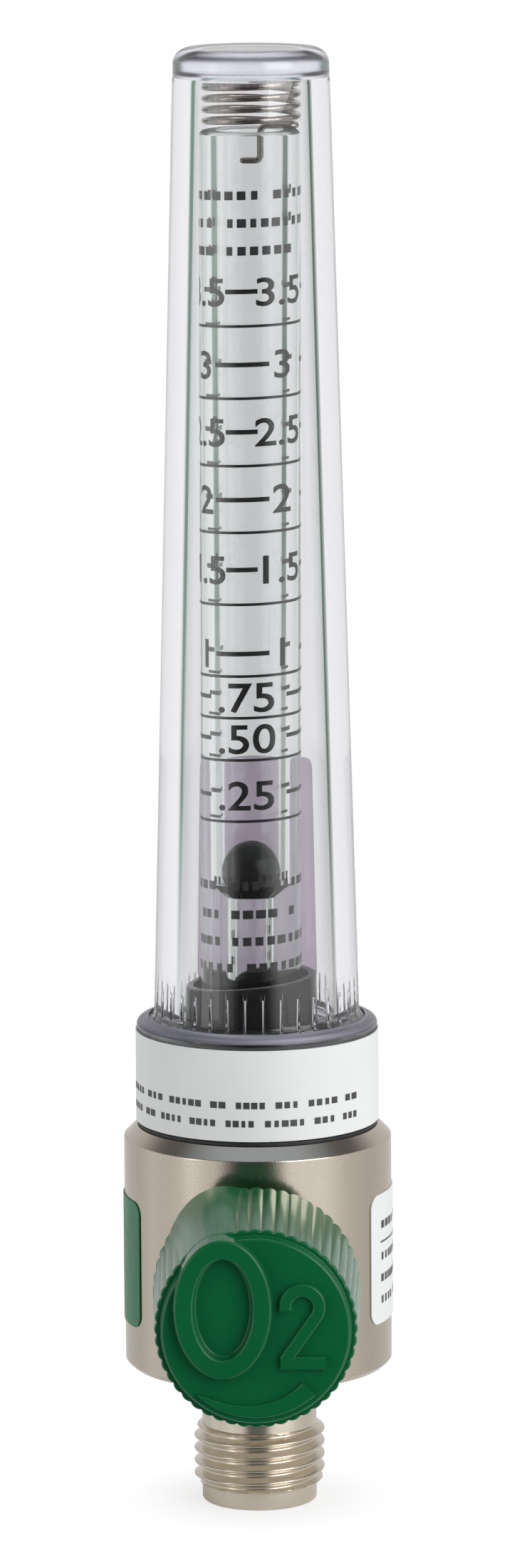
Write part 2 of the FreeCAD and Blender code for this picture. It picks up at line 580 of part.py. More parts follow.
def valve_insides():
    """Bonnet and washer, and the stem with its needle, stop collar and ring."""
    bonnet = to_front("valve_bonnet")
    flange = f"({FRONT_FACE} + bonnet_washer_thickness)"
    bonnet_end = f"({flange} - bonnet_thread_length)"
    sketch = circle_on(bonnet, "XY_Plane", "bonnet_thread_circle", "bonnet_thread_radius", ("0", "0"), bonnet_end)
    padded(bonnet, "bonnet_thread", sketch, "bonnet_thread_length")
    hexagon = hexagon_on(bonnet, "bonnet_hexagon_outline", "bonnet_across", flange)
    padded(bonnet, "bonnet_hexagon", hexagon, "bonnet_hexagon_length")
    bevel_corners(bonnet, "bonnet_bevel", "bonnet_across", f"({flange} + bonnet_hexagon_length)", 1)
    drilled(bonnet, "bonnet_bore", "XY_Plane", STEM_BORE, ("0", "0"), "0", f"{flange} + body_radius", True)
    washer("bonnet_washer", "bonnet_thread_radius + screw_clearance", "bonnet_across / 2", FRONT_FACE,
           "bonnet_washer_thickness", to_front("bonnet_washer"))

    stem = to_front("needle_stem")
    needle_root = (f"needle_tip_radius + (orifice_radius - ball_gap / 2 - needle_tip_radius)"
                   f" * ({COLLAR_BACK} - needle_tip_place) / (seat_distance - needle_tip_place)")
    turned(stem, "stem_turning", [
        ("0", "needle_tip_place"),
        ("needle_tip_radius", "needle_tip_place"),
        (needle_root, COLLAR_BACK),
        ("stem_collar_radius", COLLAR_BACK),
        ("stem_collar_radius", COLLAR_FRONT),
        ("stem_radius", COLLAR_FRONT),
        ("stem_radius", STEM_END),
        ("0", STEM_END),
    ])
    wire = f"(({STEM_BORE} - seal_room - stem_groove_radius - seal_room) / 2)"
    groove(stem, "stem_groove", [
        ("stem_groove_radius", f"{GROOVE_PLACE} - {wire} - seal_room"),
        ("stem_radius + 1", f"{GROOVE_PLACE} - {wire} - seal_room"),
        ("stem_radius + 1", f"{GROOVE_PLACE} + {wire} + seal_room"),
        ("stem_groove_radius", f"{GROOVE_PLACE} + {wire} + seal_room"),
    ])
    ring_seal("stem_ring", f"stem_groove_radius + seal_room + {wire}", wire, VALVE_HEIGHT, 90, "-" + GROOVE_PLACE)


def knob():
    """Hollow moulded knob: a skirt of rounded ribs, a front disc and an oval lobe that runs its whole depth."""
    body = to_front("knob")
    turned(body, "knob_core", [
        ("0", KNOB_BACK),
        ("knob_back_radius - rib_core", KNOB_BACK),
        ("knob_front_radius - rib_core", KNOB_FRONT),
        ("disc_radius", KNOB_FRONT),
        ("disc_radius", f"{DISC_FRONT} - disc_bevel"),
        ("disc_radius - disc_bevel", DISC_FRONT),
        ("0", DISC_FRONT),
    ])
    lofted(
        body, "knob_lobe",
        oval_on(body, "lobe_back", "(oval_width + oval_draft)", "(oval_tall + oval_draft)", KNOB_BACK),
        oval_on(body, "lobe_front", "oval_width", "oval_tall", OVAL_FRONT),
    )
    rib = lofted(
        body, "knob_rib",
        circle_on(body, "XY_Plane", "rib_back", "rib_radius", ("knob_back_radius - rib_radius", "0"), KNOB_BACK),
        circle_on(body, "XY_Plane", "rib_front", "rib_radius", ("knob_front_radius - rib_radius", "0"), KNOB_FRONT),
    )
    repeated(body, "knob_ribs", rib, "rib_count")
    recess = oval_on(body, "lobe_recess_outline", "(oval_width - oval_rim)", "(oval_tall - oval_rim)", OVAL_FRONT)
    pocketed(body, "lobe_recess", recess, "oval_relief", False)
    front = SIZE["body_radius"] - SIZE["front_face_depth"] + sum(SIZE[name] for name in (
        "bonnet_washer_thickness", "bonnet_hexagon_length", "knob_room", "knob_skirt", "disc_height", "oval_relief"))
    on_edges(body, "Fillet", "lobe_round", "oval_round",
             lambda edge: all(abs(point.Z - front) < 0.01 for point in edge.Vertexes))
    inner_back = "knob_back_radius - rib_core - knob_wall"
    inner_front = "knob_front_radius - rib_core - knob_wall"
    cavity_end = f"{DISC_FRONT} - knob_face"
    groove(body, "knob_cavity", [
        ("hub_radius", f"{KNOB_BACK} - 1"),
        (inner_back, f"{KNOB_BACK} - 1"),
        (inner_back, KNOB_BACK),
        (inner_front, cavity_end),
        ("hub_radius", cavity_end),
    ])
    insert_foot = f"({KNOB_BACK} + insert_setback)"
    insert_end = f"({insert_foot} + insert_length)"
    drilled(body, "hub_bore", "XY_Plane", "insert_radius", ("0", "0"), f"{insert_end} + end_room", "knob_skirt",
            False)

    insert = to_front("knob_insert")
    turned(insert, "insert_turning", [
        (STEM_BORE, insert_foot),
        ("insert_radius", insert_foot),
        ("insert_radius", insert_end),
        (STEM_BORE, insert_end),
    ])


def shroud():
    """Clear cover: flange, hollow fillet, tapered wall with grip notches at its foot, and a solid crown."""
    washer("shroud_gasket", SHROUD_BORE, "flange_radius", BODY_TOP, "gasket_thickness")
    ring_seal("shroud_ring", "(gallery_outer + boss_radius) / 2", "shroud_ring_wire", f"{BOSS_TOP} + ledge_room / 2")
    body = new_body("shroud")
    body.Placement = FreeCAD.Placement(Vector(), Rotation(Vector(0, 0, 1), 45))
    bind(body, "Placement.Rotation.Angle", "notch_turn")
    turned(body, "shroud_turning", [
        (SHROUD_BORE, SHROUD_FOOT),
        ("flange_radius", SHROUD_FOOT),
        ("flange_radius", FLANGE_TOP),
        ("wall_low_radius", FLANGE_TOP),
        ("wall_high_radius", WALL_TOP),
        ("wall_high_radius - crown_step", WALL_TOP),
        ("wall_high_radius - crown_step", CROWN_TOP),
        ("0", CROWN_TOP),
        ("0", HOLLOW_TOP),
        ("hollow_high_radius", HOLLOW_TOP),
        ("hollow_low_radius", LEDGE),
        (SHROUD_BORE, LEDGE),
    ])
    deck = sum(SIZE[name] for name in ("pilot_length", "thread_length", "neck_length", "body_height"))
    flange_top = deck + SIZE["gasket_thickness"] + SIZE["flange_height"]
    hollow_top = deck + SIZE["coil_pitch"] * SIZE["coil_turns"] + 2 * SIZE["wire_radius"] + sum(
        SIZE[name] for name in ("boss_height", "collar_floor", "tube_gasket_thickness", "tube_length", "coil_gap",
                                "crown_room"))
    crown_top = hollow_top + SIZE["crown_thickness"]
    crown_radius = SIZE["wall_high_radius"] - SIZE["crown_step"]
    on_edges(body, "Fillet", "flange_rounding", "flange_round", ring_edge(SIZE["flange_radius"], flange_top))
    on_edges(body, "Fillet", "flange_hollow", "flange_fillet", ring_edge(SIZE["wall_low_radius"], flange_top))
    on_edges(body, "Fillet", "crown_rounding", "crown_round", ring_edge(crown_radius, crown_top))
    on_edges(body, "Fillet", "hollow_rounding", "hollow_round", ring_edge(SIZE["hollow_high_radius"], hollow_top))
    notch = outline(body, "XZ_Plane", "notch_outline", [
        ("wall_low_radius - notch_depth", f"{FLANGE_TOP} + 0.3"),
        ("flange_radius", f"{FLANGE_TOP} + 0.3"),
        ("flange_radius", f"{FLANGE_TOP} + notch_height"),
        (f"wall_low_radius - notch_height * {WALL_SLOPE}", f"{FLANGE_TOP} + notch_height"),
    ])
    cut = pocketed(body, "notch", notch, "notch_width", False, True)
    repeated(body, "notches", cut, "notch_count")


def tube_seat():
    """Black cup-shaped collar with a slanted rim, and the gasket that the tube stands on."""
    body = new_body("tube_collar")
    rim = f"{BOSS_TOP} + collar_height"
    bore = "tube_radius + tube_fit"
    turned(body, "collar_turning", [
        ("collar_bore_radius", BOSS_TOP),
        ("collar_radius", BOSS_TOP),
        ("collar_rim_radius", f"{rim} + collar_spare"),
        ("collar_cup_radius", f"{rim} + collar_spare"),
        ("collar_cup_radius", f"{BOSS_TOP} + collar_cup_floor"),
        (bore, f"{BOSS_TOP} + collar_cup_floor"),
        (bore, f"{BOSS_TOP} + collar_floor"),
        ("collar_bore_radius", f"{BOSS_TOP} + collar_floor"),
    ])
    reach = "2 * collar_radius"
    sketch = outline(body, "XZ_Plane", "slant_outline", [
        (f"-{reach}", f"{rim} - {reach} * tan(collar_tilt * 1 deg)"),
        (reach, f"{rim} + {reach} * tan(collar_tilt * 1 deg)"),
        (reach, f"{rim} + collar_height"),
        (f"-{reach}", f"{rim} + collar_height"),
    ])
    pocketed(body, "slant", sketch, "4 * collar_radius", False, True)
    washer("tube_gasket", "collar_bore_radius", "tube_radius", f"{BOSS_TOP} + collar_floor", "tube_gasket_thickness")


def flow_tube():
    """Clear tube whose bore widens upwards, with a conical seat for the ball at its lower end."""
    body = new_body("flow_tube")
    seat = f"{BALL_CENTRE} - sqrt(2) * ball_radius - ball_gap"
    turned(body, "tube_turning", [
        ("tube_passage_radius", TUBE_FOOT),
        ("tube_radius", TUBE_FOOT),
        ("tube_radius", f"{TUBE_TOP} - tube_bevel"),
        ("tube_radius - tube_bevel", TUBE_TOP),
        ("taper_high_radius", TUBE_TOP),
        ("taper_low_radius", f"{seat} + taper_low_radius"),
        ("tube_passage_radius", f"{seat} + tube_passage_radius"),
    ])
    ball = doc.addObject("Part::Sphere", "float_ball")
    ball.Label = "float_ball"
    bind(ball, "Radius", "ball_radius")
    bind(ball, "Placement.Base.z", BALL_CENTRE)
    pieces.append(ball)


def ball_stop():
    """One wire: a coil under the crown, and a tail that bends in and hangs in the tube with a short foot."""
    helix = doc.addObject("Part::Helix", "coil_line")
    bind(helix, "Radius", "coil_radius")
    bind(helix, "Pitch", "coil_pitch")
    bind(helix, "Height", "coil_pitch * coil_turns")
    bind(helix, "Placement.Base.z", COIL_FOOT)
    ring = doc.addObject("Part::Circle", "coil_section")
    ring.Placement = FreeCAD.Placement(Vector(), Rotation(Vector(1, 0, 0), 90))
    bind(ring, "Radius", "wire_radius")
    bind(ring, "Placement.Base.x", "coil_radius")
    bind(ring, "Placement.Base.z", COIL_FOOT)
    coil = doc.addObject("Part::Sweep", "coil")
    coil.Sections = [ring]
    coil.Spine = helix
    coil.Solid = True
    coil.Frenet = True
    elbow = doc.addObject("Part::Sphere", "coil_elbow")
    bind(elbow, "Radius", "wire_radius")
    bind(elbow, "Placement.Base.x", "coil_radius")
    bind(elbow, "Placement.Base.z", COIL_FOOT)

    tail = doc.addObject("PartDesign::Body", "tail")
    bind(tail, "Placement.Base.z", COIL_FOOT)
    path = sketch_on(tail, "XZ_Plane", "tail_line")
    bend, place, drop = SIZE["tail_bend"], SIZE["tail_place"], SIZE["tail_drop"]
    curl, foot, reach, quarter = SIZE["foot_bend"], SIZE["foot_length"], SIZE["coil_radius"], math.pi / 2
    side = Vector(0, 0, 1)
    bend_circle = Part.Circle(Vector(place + bend, -bend, 0), side, bend)
    foot_circle = Part.Circle(Vector(place - curl, -drop, 0), side, curl)
    path.addGeometry(Part.LineSegment(Vector(reach, 0, 0), Vector(place + bend, 0, 0)))
    path.addGeometry(Part.ArcOfCircle(bend_circle, quarter, 2 * quarter))
    path.addGeometry(Part.LineSegment(Vector(place, -bend, 0), Vector(place, -drop, 0)))
    path.addGeometry(Part.ArcOfCircle(foot_circle, -quarter, 0))
    path.addGeometry(Part.LineSegment(Vector(place - curl, -drop - curl, 0), Vector(place - foot, -drop - curl, 0)))
    rules = [
        (Sketcher.Constraint("PointOnObject", 0, 1, -1), None),
        (Sketcher.Constraint("Horizontal", 0), None),
        (Sketcher.Constraint("Tangent", 0, 2, 1, 1), None),
        (Sketcher.Constraint("Tangent", 1, 2, 2, 1), None),
        (Sketcher.Constraint("Vertical", 2), None),
        (Sketcher.Constraint("Tangent", 2, 2, 3, 2), None),
        (Sketcher.Constraint("Tangent", 3, 1, 4, 1), None),
        (Sketcher.Constraint("Horizontal", 4), None),
        (Sketcher.Constraint("DistanceX", -1, 1, 0, 1, reach), "coil_radius"),
        (Sketcher.Constraint("Radius", 1, bend), "tail_bend"),
        (Sketcher.Constraint("Radius", 3, curl), "foot_bend"),
        (Sketcher.Constraint("DistanceX", 4, 2, 2, 2, foot), "foot_length"),
        (Sketcher.Constraint("DistanceX", -1, 1, 2, 2, place), "tail_place"),
        (Sketcher.Constraint("DistanceY", 2, 2, -1, 1, drop), "tail_drop"),
    ]
    for rule, text in rules:
        number = path.addConstraint(rule)
        if text:
            bind(path, f"Constraints[{number}]", text)
    section = circle_on(tail, "YZ_Plane", "tail_section", "wire_radius", ("0", "0"), "coil_radius")
    wire = tail.newObject("PartDesign::AdditivePipe", "tail_wire")
    wire.Profile = section
    wire.Spine = path
    stop = doc.addObject("Part::MultiFuse", "ball_stop_spring")
    stop.Label = "ball_stop_spring"
    stop.Shapes = [coil, elbow, tail]
    pieces.append(stop)


def label(name, points, turn, angle=None):
    """A thin film bent round the front, turned about the tube's axis, with rounded corners."""
    body = new_body(name)
    turned(body, name + "_film", points, "YZ_Plane", turn)
    if angle is not None:
        body.Placement = FreeCAD.Placement(Vector(), Rotation(Vector(0, 0, 1), 45))
        bind(body, "Placement.Rotation.Angle", angle)
    return body


def round_corners(body, radius):
    short = 2 * SIZE["label_thickness"]
    on_edges(body, "Fillet", body.Label + "_corners", radius, lambda edge: edge.Length < short)


def labels():
    """Film labels: a band round the flange, two on the sides of the body and a tinted one at the back."""
    inner = "(flange_radius + label_gap)"
    foot = f"({SHROUD_FOOT} + band_setback)"
    label("band_label", [
        (f"-{inner}", foot),
        (f"-{inner} - label_thickness", foot),
        (f"-{inner} - label_thickness", f"{foot} + band_height"),
        (f"-{inner}", f"{foot} + band_height"),
    ], "band_turn")
    inner = "(body_radius + label_gap)"
    for side, way in (("left", "-"), ("right", "")):
        foot = f"({BODY_FOOT} + {side}_label_foot)"
        top = f"({foot} + {side}_label_height)"
        film = label(side + "_label", [
            (f"-{inner}", foot),
            (f"-{inner} - label_thickness", foot),
            (f"-{inner} - label_thickness", top),
            (f"-{inner}", top),
        ], "side_label_turn", f"{way}{side}_label_angle")
        round_corners(film, "label_corner")
    low = f"(wall_low_radius + label_gap - rear_label_foot * {WALL_SLOPE})"
    high = f"(wall_low_radius + label_gap - (rear_label_foot + rear_label_height) * {WALL_SLOPE})"
    foot = f"({FLANGE_TOP} + rear_label_foot)"
    top = f"({foot} + rear_label_height)"
    film = label("rear_label", [
        (low, foot),
        (f"{low} + label_thickness", foot),
        (f"{high} + label_thickness", top),
        (high, top),
    ], "rear_label_turn")
    round_corners(film, "rear_label_corner")


outlet_fitting()
valve_body()
inlet_side()
valve_insides()
knob()
shroud()
tube_seat()
flow_tube()
ball_stop()
labels()
doc.recompute()

# Every object is checked before anything is written
for item in doc.Objects:
    if {"Invalid", "Error"} & set(item.State):
        raise ValueError(item.Name + " failed")
for piece in pieces:
    if piece.Shape.isNull() or not piece.Shape.isValid() or not piece.Shape.Solids:
        raise ValueError(piece.Label + " has no valid solid")
os.makedirs("parts", exist_ok=True)
for piece in pieces:
    piece.Shape.exportStep(f"parts/{piece.Label}.step")
    print(piece.Label, len(piece.Shape.Solids), round(piece.Shape.Volume, 1))
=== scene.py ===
# %% [markdown]
# # An oxygen flowmeter, dressed
# A nickel plated valve drum carries a clear cover with a glass tube in it. A black ball floats in the tube, a
# green knob turns the needle valve, and a threaded outlet stands below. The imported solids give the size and
# place of every piece. This lesson gives them their finish, and remakes the visible ones as dense, smooth
# surfaces worked out with numpy, because clear plastic and satin metal show every facet.

# %% Load the frame
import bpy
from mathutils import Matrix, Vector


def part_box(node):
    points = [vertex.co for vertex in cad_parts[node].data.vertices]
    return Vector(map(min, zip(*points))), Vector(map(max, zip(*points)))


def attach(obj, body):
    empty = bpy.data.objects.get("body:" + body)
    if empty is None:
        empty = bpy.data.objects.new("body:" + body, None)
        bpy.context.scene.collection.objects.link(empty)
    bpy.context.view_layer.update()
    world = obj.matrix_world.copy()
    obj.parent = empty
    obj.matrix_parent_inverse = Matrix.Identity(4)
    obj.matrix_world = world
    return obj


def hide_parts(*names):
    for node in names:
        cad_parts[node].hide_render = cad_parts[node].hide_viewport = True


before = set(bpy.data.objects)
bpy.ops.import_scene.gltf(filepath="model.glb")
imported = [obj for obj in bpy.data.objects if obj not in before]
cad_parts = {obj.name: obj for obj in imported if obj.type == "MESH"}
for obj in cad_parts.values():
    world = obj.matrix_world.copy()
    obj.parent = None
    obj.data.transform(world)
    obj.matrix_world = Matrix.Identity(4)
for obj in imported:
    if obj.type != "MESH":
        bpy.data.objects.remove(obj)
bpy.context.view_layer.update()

# %% [markdown]
# ## Tools and units
# numpy works out the points, bmesh welds them and turns the faces outwards, and mathutils places the lamps
# and the camera. Sizes below are in millimetres, as on a drawing, and MM turns them into Blender's metres.

# %% Libraries and units
from math import acos, atan2, cos, pi, radians, sin, tan
import bmesh
import bpy
import numpy as np
from mathutils import Matrix, Vector

MM = 0.001
TURN = 2 * pi
print("one millimetre is", MM, "m and a full turn", round(TURN, 4), "radians")

# %% [markdown]
# ## Levels
# The solids are the master. The levels that several pieces share are read from their boxes, in millimetres,
# so that a cover, a label and a ring still meet if the solids change. Radii that no box shows are written
# once, below.

# %% Levels from the frame


def low(node, axis=2):
    """The least coordinate of a solid's box along an axis, in millimetres."""
    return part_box(node)[0][axis] / MM


def high(node, axis=2):
    """The greatest coordinate of a solid's box along an axis, in millimetres."""
    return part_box(node)[1][axis] / MM


BODY_FOOT = low("valve_body")
BODY_TOP = low("shroud_gasket")
BOSS_TOP = high("valve_body")
SHROUD_FOOT = low("shroud")
CROWN_TOP = high("shroud")
TUBE_FOOT = low("flow_tube")
TUBE_TOP = high("flow_tube")
KNOB_BACK = -high("knob", 1)
OVAL_FRONT = -low("knob", 1)
VALVE_HEIGHT = (low("valve_bonnet") + high("valve_bonnet")) / 2
INLET_HEIGHT = (low("inlet_nipple") + high("inlet_nipple")) / 2
NUT_BACK = low("inlet_nut", 1)
NUT_END = high("inlet_nut", 1)
NOSE_END = high("inlet_nipple", 1)
BODY_RADIUS = high("valve_body", 0)
FLANGE_RADIUS = high("shroud", 0)
TUBE_RADIUS = high("flow_tube", 0)
BALL_RADIUS = high("float_ball", 0)
BALL_HEIGHT = (low("float_ball") + high("float_ball")) / 2
print("body", round(BODY_FOOT, 2), round(BODY_TOP, 2), "crown", round(CROWN_TOP, 2))
print("valve axis", round(VALVE_HEIGHT, 2), "inlet axis", round(INLET_HEIGHT, 2))

# %% [markdown]
# ## From a grid of points to a mesh
# Nearly every surface here is a grid: rows run along an outline, columns run round or across it. One function
# turns such a grid into a mesh. It welds doubled points, so that poles and seams are closed, and points every
# face outwards. Edges sharper than a chosen angle stay crisp and all others are shaded smooth.

# %% Grid to mesh
WELD = 0.0004


def surface(name, grids, wrap_columns=True, wrap_rows=False, crisp=35, closed=True):
    """One mesh from one or more grids of points (rows, columns, 3) in millimetres.
    Face (i, j) joins points (i, j), (i, j+1), (i+1, j+1) and (i+1, j)."""
    points, faces, start = [], [], 0
    for grid in grids if isinstance(grids, list) else [grids]:
        rows, columns = grid.shape[:2]
        number = start + np.arange(rows * columns).reshape(rows, columns)
        if wrap_rows:
            number = np.vstack([number, number[:1]])
        if wrap_columns:
            number = np.hstack([number, number[:, :1]])
        quads = np.stack([number[:-1, :-1], number[:-1, 1:], number[1:, 1:], number[1:, :-1]], axis=-1)
        points.append(grid.reshape(-1, 3) * MM)
        faces.append(quads.reshape(-1, 4))
        start += rows * columns
    mesh = bpy.data.meshes.new(name)
    mesh.from_pydata(np.concatenate(points).tolist(), [], np.concatenate(faces).tolist())
    return finished(name, mesh, crisp, closed)


def finished(name, mesh, crisp=35, closed=True):
    """Welds the mesh, turns its faces outwards and links it as an object at the origin."""
    work = bmesh.new()
    work.from_mesh(mesh)
    bmesh.ops.remove_doubles(work, verts=work.verts, dist=WELD * MM)
    if closed:
        bmesh.ops.recalc_face_normals(work, faces=work.faces)
    work.to_mesh(mesh)
    work.free()
    mesh.shade_smooth()
    mesh.set_sharp_from_angle(angle=radians(crisp))
    piece = bpy.data.objects.new(name, mesh)
    bpy.context.scene.collection.objects.link(piece)
    return piece

# %% [markdown]
# ## Outlines with rounded corners
# A turned or moulded piece has no perfectly sharp edge, and the small round is what catches the light. An
# outline is a list of corners with a rounding each. Two guard points beside each arc keep the long flats flat
# in shading.

# %% Rounded outlines


def rounded(corners, steps=5, guard=0.06, closed=False):
    """Outline through (across, along, rounding) corners. Each arc touches both sides of its corner: it starts
    at rounding / tan(half the inside angle) from the corner, and its centre lies on the angle's bisector.
    Where two neighbours want more than the side between them, both shrink by the same share."""
    points = [np.array(corner[:2], float) for corner in corners]
    count = len(points)
    bends = []
    for i, (across, along, rounding) in enumerate(corners):
        plain = rounding == 0 or (not closed and i in (0, count - 1))
        back, on = points[i - 1] - points[i], points[(i + 1) % count] - points[i]
        back_length, on_length = np.linalg.norm(back), np.linalg.norm(on)
        back, on = back / back_length, on / on_length
        half = acos(max(-1.0, min(1.0, float(back @ on)))) / 2
        bends.append((back, on, back_length, on_length, half, 0.0 if plain else rounding / tan(half)))
    parts = []
    for i, (back, on, back_length, on_length, half, reach) in enumerate(bends):
        if reach == 0:
            parts.append(points[i][None])
            continue
        before = back_length / (reach + bends[i - 1][5])
        after = on_length / (reach + bends[(i + 1) % count][5])
        reach *= min(1, 0.98 * before, 0.98 * after)
        radius = reach * tan(half)
        centre = points[i] + (back + on) / np.linalg.norm(back + on) * radius / sin(half)
        first, last = points[i] + back * reach - centre, points[i] + on * reach - centre
        start = atan2(first[1], first[0])
        sweep = (atan2(last[1], last[0]) - start + pi) % TURN - pi
        angle = start + sweep * np.linspace(0, 1, steps + 1)
        arc = centre + radius * np.stack([np.cos(angle), np.sin(angle)], axis=-1)
        lead = points[i] + back * (reach + min(guard, 0.01 * back_length))
        trail = points[i] + on * (reach + min(guard, 0.01 * on_length))
        parts.append(np.vstack([lead, arc, trail]))
    return np.vstack(parts)


# %% [markdown]
# ## Turned, closed and bent grids
# A lathe shape is an outline carried round the Z axis. The pieces on the valve's and the inlet's axes are
# made upright too, and then laid down to the front or to the rear. A label is a film bent round the axis.

# %% Grid shapes


def ring_angles(columns):
    """Even angles once round, without the last, which is the first again."""
    return np.linspace(0, TURN, columns, endpoint=False)


def turned(outline, columns=160, angle=None):
    """Surface of revolution: the point at outline (r, h) and angle u is (r cos u, r sin u, h)."""
    angle = ring_angles(columns) if angle is None else angle
    radius, height = outline[:, :1], outline[:, 1:]
    return round_axis(radius, angle, height)


def round_axis(radius, angle, height):
    """Points at a radius, an angle and a height round the Z axis, spread over each other's rows and
    columns."""
    return np.stack(np.broadcast_arrays(radius * np.cos(angle), radius * np.sin(angle), height), axis=-1)


def closed_ends(grid):
    """Closes a carried section: its first and last columns are repeated, drawn together at their own
    middle."""
    first, last = (np.broadcast_to(grid[:, [i]].mean(axis=0, keepdims=True), grid[:, [i]].shape)
                   for i in (0, -1))
    return np.concatenate([first, grid, last], axis=1)


def to_front(grid):
    """Turns a grid whose axis is +Z so that it runs to -Y along the valve's axis."""
    return np.stack([grid[..., 0], -grid[..., 2], grid[..., 1] + VALVE_HEIGHT], axis=-1)


def to_rear(grid):
    """Turns a grid whose axis is +Z so that it runs to +Y along the inlet's axis."""
    return np.stack([grid[..., 0], grid[..., 2], INLET_HEIGHT - grid[..., 1]], axis=-1)


def hexagon_limit(grid, across):
    """Holds a grid's radius inside a hexagon: half the width across flats, divided by the cosine of the angle
    from the nearest flat's middle."""
    angle = np.arctan2(grid[..., 1], grid[..., 0])
    limit = across / 2 / np.cos((angle % (TURN / 6)) - TURN / 12)
    radius = np.maximum(np.hypot(grid[..., 0], grid[..., 1]), 1e-9)
    share = np.minimum(1, limit / radius)
    return np.stack([grid[..., 0] * share, grid[..., 1] * share, grid[..., 2]], axis=-1)


def film(name, reach, foot, top, middle, width, corner=0.0, thickness=0.15, columns=60):
    """A thin film bent round the Z axis. reach(z) is its inner radius at a height. Columns run over the
    angle, and near both ends the film's height shrinks by corner - sqrt(corner^2 - (corner - distance)^2),
    which rounds it."""
    share = np.sin(np.linspace(-pi / 2, pi / 2, columns)) * 0.5 + 0.5
    middle, width = radians(middle), radians(width)
    angle = middle + width * (share - 0.5)
    arc = reach((foot + top) / 2) * width
    end = np.clip(corner - arc * np.minimum(share, 1 - share), 0, corner)
    inset = corner - np.sqrt(np.maximum(corner**2 - end**2, 0))
    up = np.linspace(0, 1, 9)[:, None]
    height = (foot + inset) * (1 - up) + (top - inset) * up
    inner, outer = reach(height), reach(height) + thickness
    radius = np.vstack([outer, inner[::-1]])
    height = np.vstack([height, height[::-1]])
    middle_radius = (radius[:, [0, -1]] + radius[::-1, [0, -1]]) / 2
    radius = np.hstack([middle_radius[:, :1], radius, middle_radius[:, 1:]])
    height = np.hstack([height[:, :1], height, height[:, -1:]])
    angle = np.concatenate([angle[:1], angle, angle[-1:]])
    return surface(name, round_axis(radius, angle, height), wrap_columns=False, wrap_rows=True)


# %% [markdown]
# ## Dressing a piece
# Each new piece gets its material, rides on a body of the imported model and stands in for the solid that it
# replaces. The line that it prints is a quick check of size and weight.

# %% Dress and report


def dress(piece, material, body, slot, *replaced):
    """Material, body and the nodes that a piece stands in for, and one printed line about it. slot is not
    used.
    """
    piece.data.materials.clear()
    piece.data.materials.append(material)
    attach(piece, body)
    if replaced:
        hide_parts(*replaced)
    size = [round(x / MM, 1) for x in piece.dimensions]
    print(piece.name, "size in mm", size, "faces", len(piece.data.polygons))
    return piece


def merged(name, parts):
    """Several meshes as one piece."""
    work = bmesh.new()
    for part in parts:
        work.from_mesh(part.data)
        bpy.data.objects.remove(part)
    mesh = bpy.data.meshes.new(name)
    work.to_mesh(mesh)
    work.free()
    piece = bpy.data.objects.new(name, mesh)
    bpy.context.scene.collection.objects.link(piece)
    return piece


# %% [markdown]
# ## Shared shader effects
# Plating, moulded plastic, glass and film all need fine variation at the right scale. One node group makes
# it: noise on Object coordinates, stretched by a vector, with its contrast raised. Even stretch gives grain
# or smudges, and a strong stretch along one axis gives the fine rings that a lathe leaves. The group puts out
# values only, and each material places it with its own numbers.

# %% Node helpers


def add(tree, kind, inputs=None, **settings):
    """Adds a shader node. Inputs are numbers, or sockets that are linked in."""
    node = tree.nodes.new("ShaderNode" + kind)
    for name, value in settings.items():
        setattr(node, name, value)
    for name, value in (inputs or {}).items():
        if isinstance(value, bpy.types.NodeSocket):
            tree.links.new(value, node.inputs[name])
        else:
            node.inputs[name].default_value = value
    return node


def shader_group(name, build, output, **inputs):
    """A node group with one output. The inputs are named numbers, or three numbers for a vector, and build
    turns their sockets into the output's."""
    tree = bpy.data.node_groups.new(name, "ShaderNodeTree")
    for label, value in inputs.items():
        kind = "NodeSocketVector" if isinstance(value, tuple) else "NodeSocketFloat"
        tree.interface.new_socket(label, in_out="INPUT", socket_type=kind).default_value = value
    tree.interface.new_socket(output, in_out="OUTPUT", socket_type="NodeSocketFloat")
    entry, leave = tree.nodes.new("NodeGroupInput"), tree.nodes.new("NodeGroupOutput")
    tree.links.new(build(tree, entry.outputs), leave.inputs[output])
    return tree


def ranged(tree, value, low_end, high_end, least=0.0, most=1.0, **settings):
    """The least number at or below the low end, the most at or above the high end and a ramp between them."""
    ends = {"From Min": low_end, "From Max": high_end, "To Min": least, "To Max": most}
    return add(tree, "MapRange", {"Value": value, **ends}, **settings).outputs[0]


def calculated(tree, operation, *values):
    """One Math node on numbers or sockets."""
    return add(tree, "Math", dict(enumerate(values)), operation=operation).outputs[0]


def place_in(tree):
    """Object coordinates, which stay with the piece wherever its body moves."""
    return add(tree, "TexCoord").outputs["Object"]


def reach_of(tree, place):
    """Distance from the Z axis: the length of the place with its height left out."""
    flat = add(tree, "VectorMath", {0: place, 1: (1, 1, 0)}, operation="MULTIPLY").outputs[0]
    return add(tree, "VectorMath", {0: flat}, operation="LENGTH").outputs["Value"]


# %% [markdown]
# ### The four groups
# Two kinds of noise, even and in rings, and two masks: above a level, and beyond a distance from the axis.
# Each is built once and placed where a finish needs it, so a change here reaches every material.

# %% Noise and masks
NOISE_SPREAD = 0.22
RING_CONTRAST = (0.3, 0.7)


def build_noise(tree, given):
    """Noise on the stretched place. A contrast c keeps the values within 0.22 / c of the middle."""
    stretched = add(tree, "VectorMath", {0: place_in(tree), 1: given["Stretch"]},
                    operation="MULTIPLY").outputs[0]
    value = add(tree, "TexNoise", {"Vector": stretched, "Scale": 1.0, "Detail": 2.0}).outputs[0]
    half = calculated(tree, "DIVIDE", NOISE_SPREAD, given["Contrast"])
    return ranged(tree, value, calculated(tree, "SUBTRACT", 0.5, half), calculated(tree, "ADD", 0.5, half))


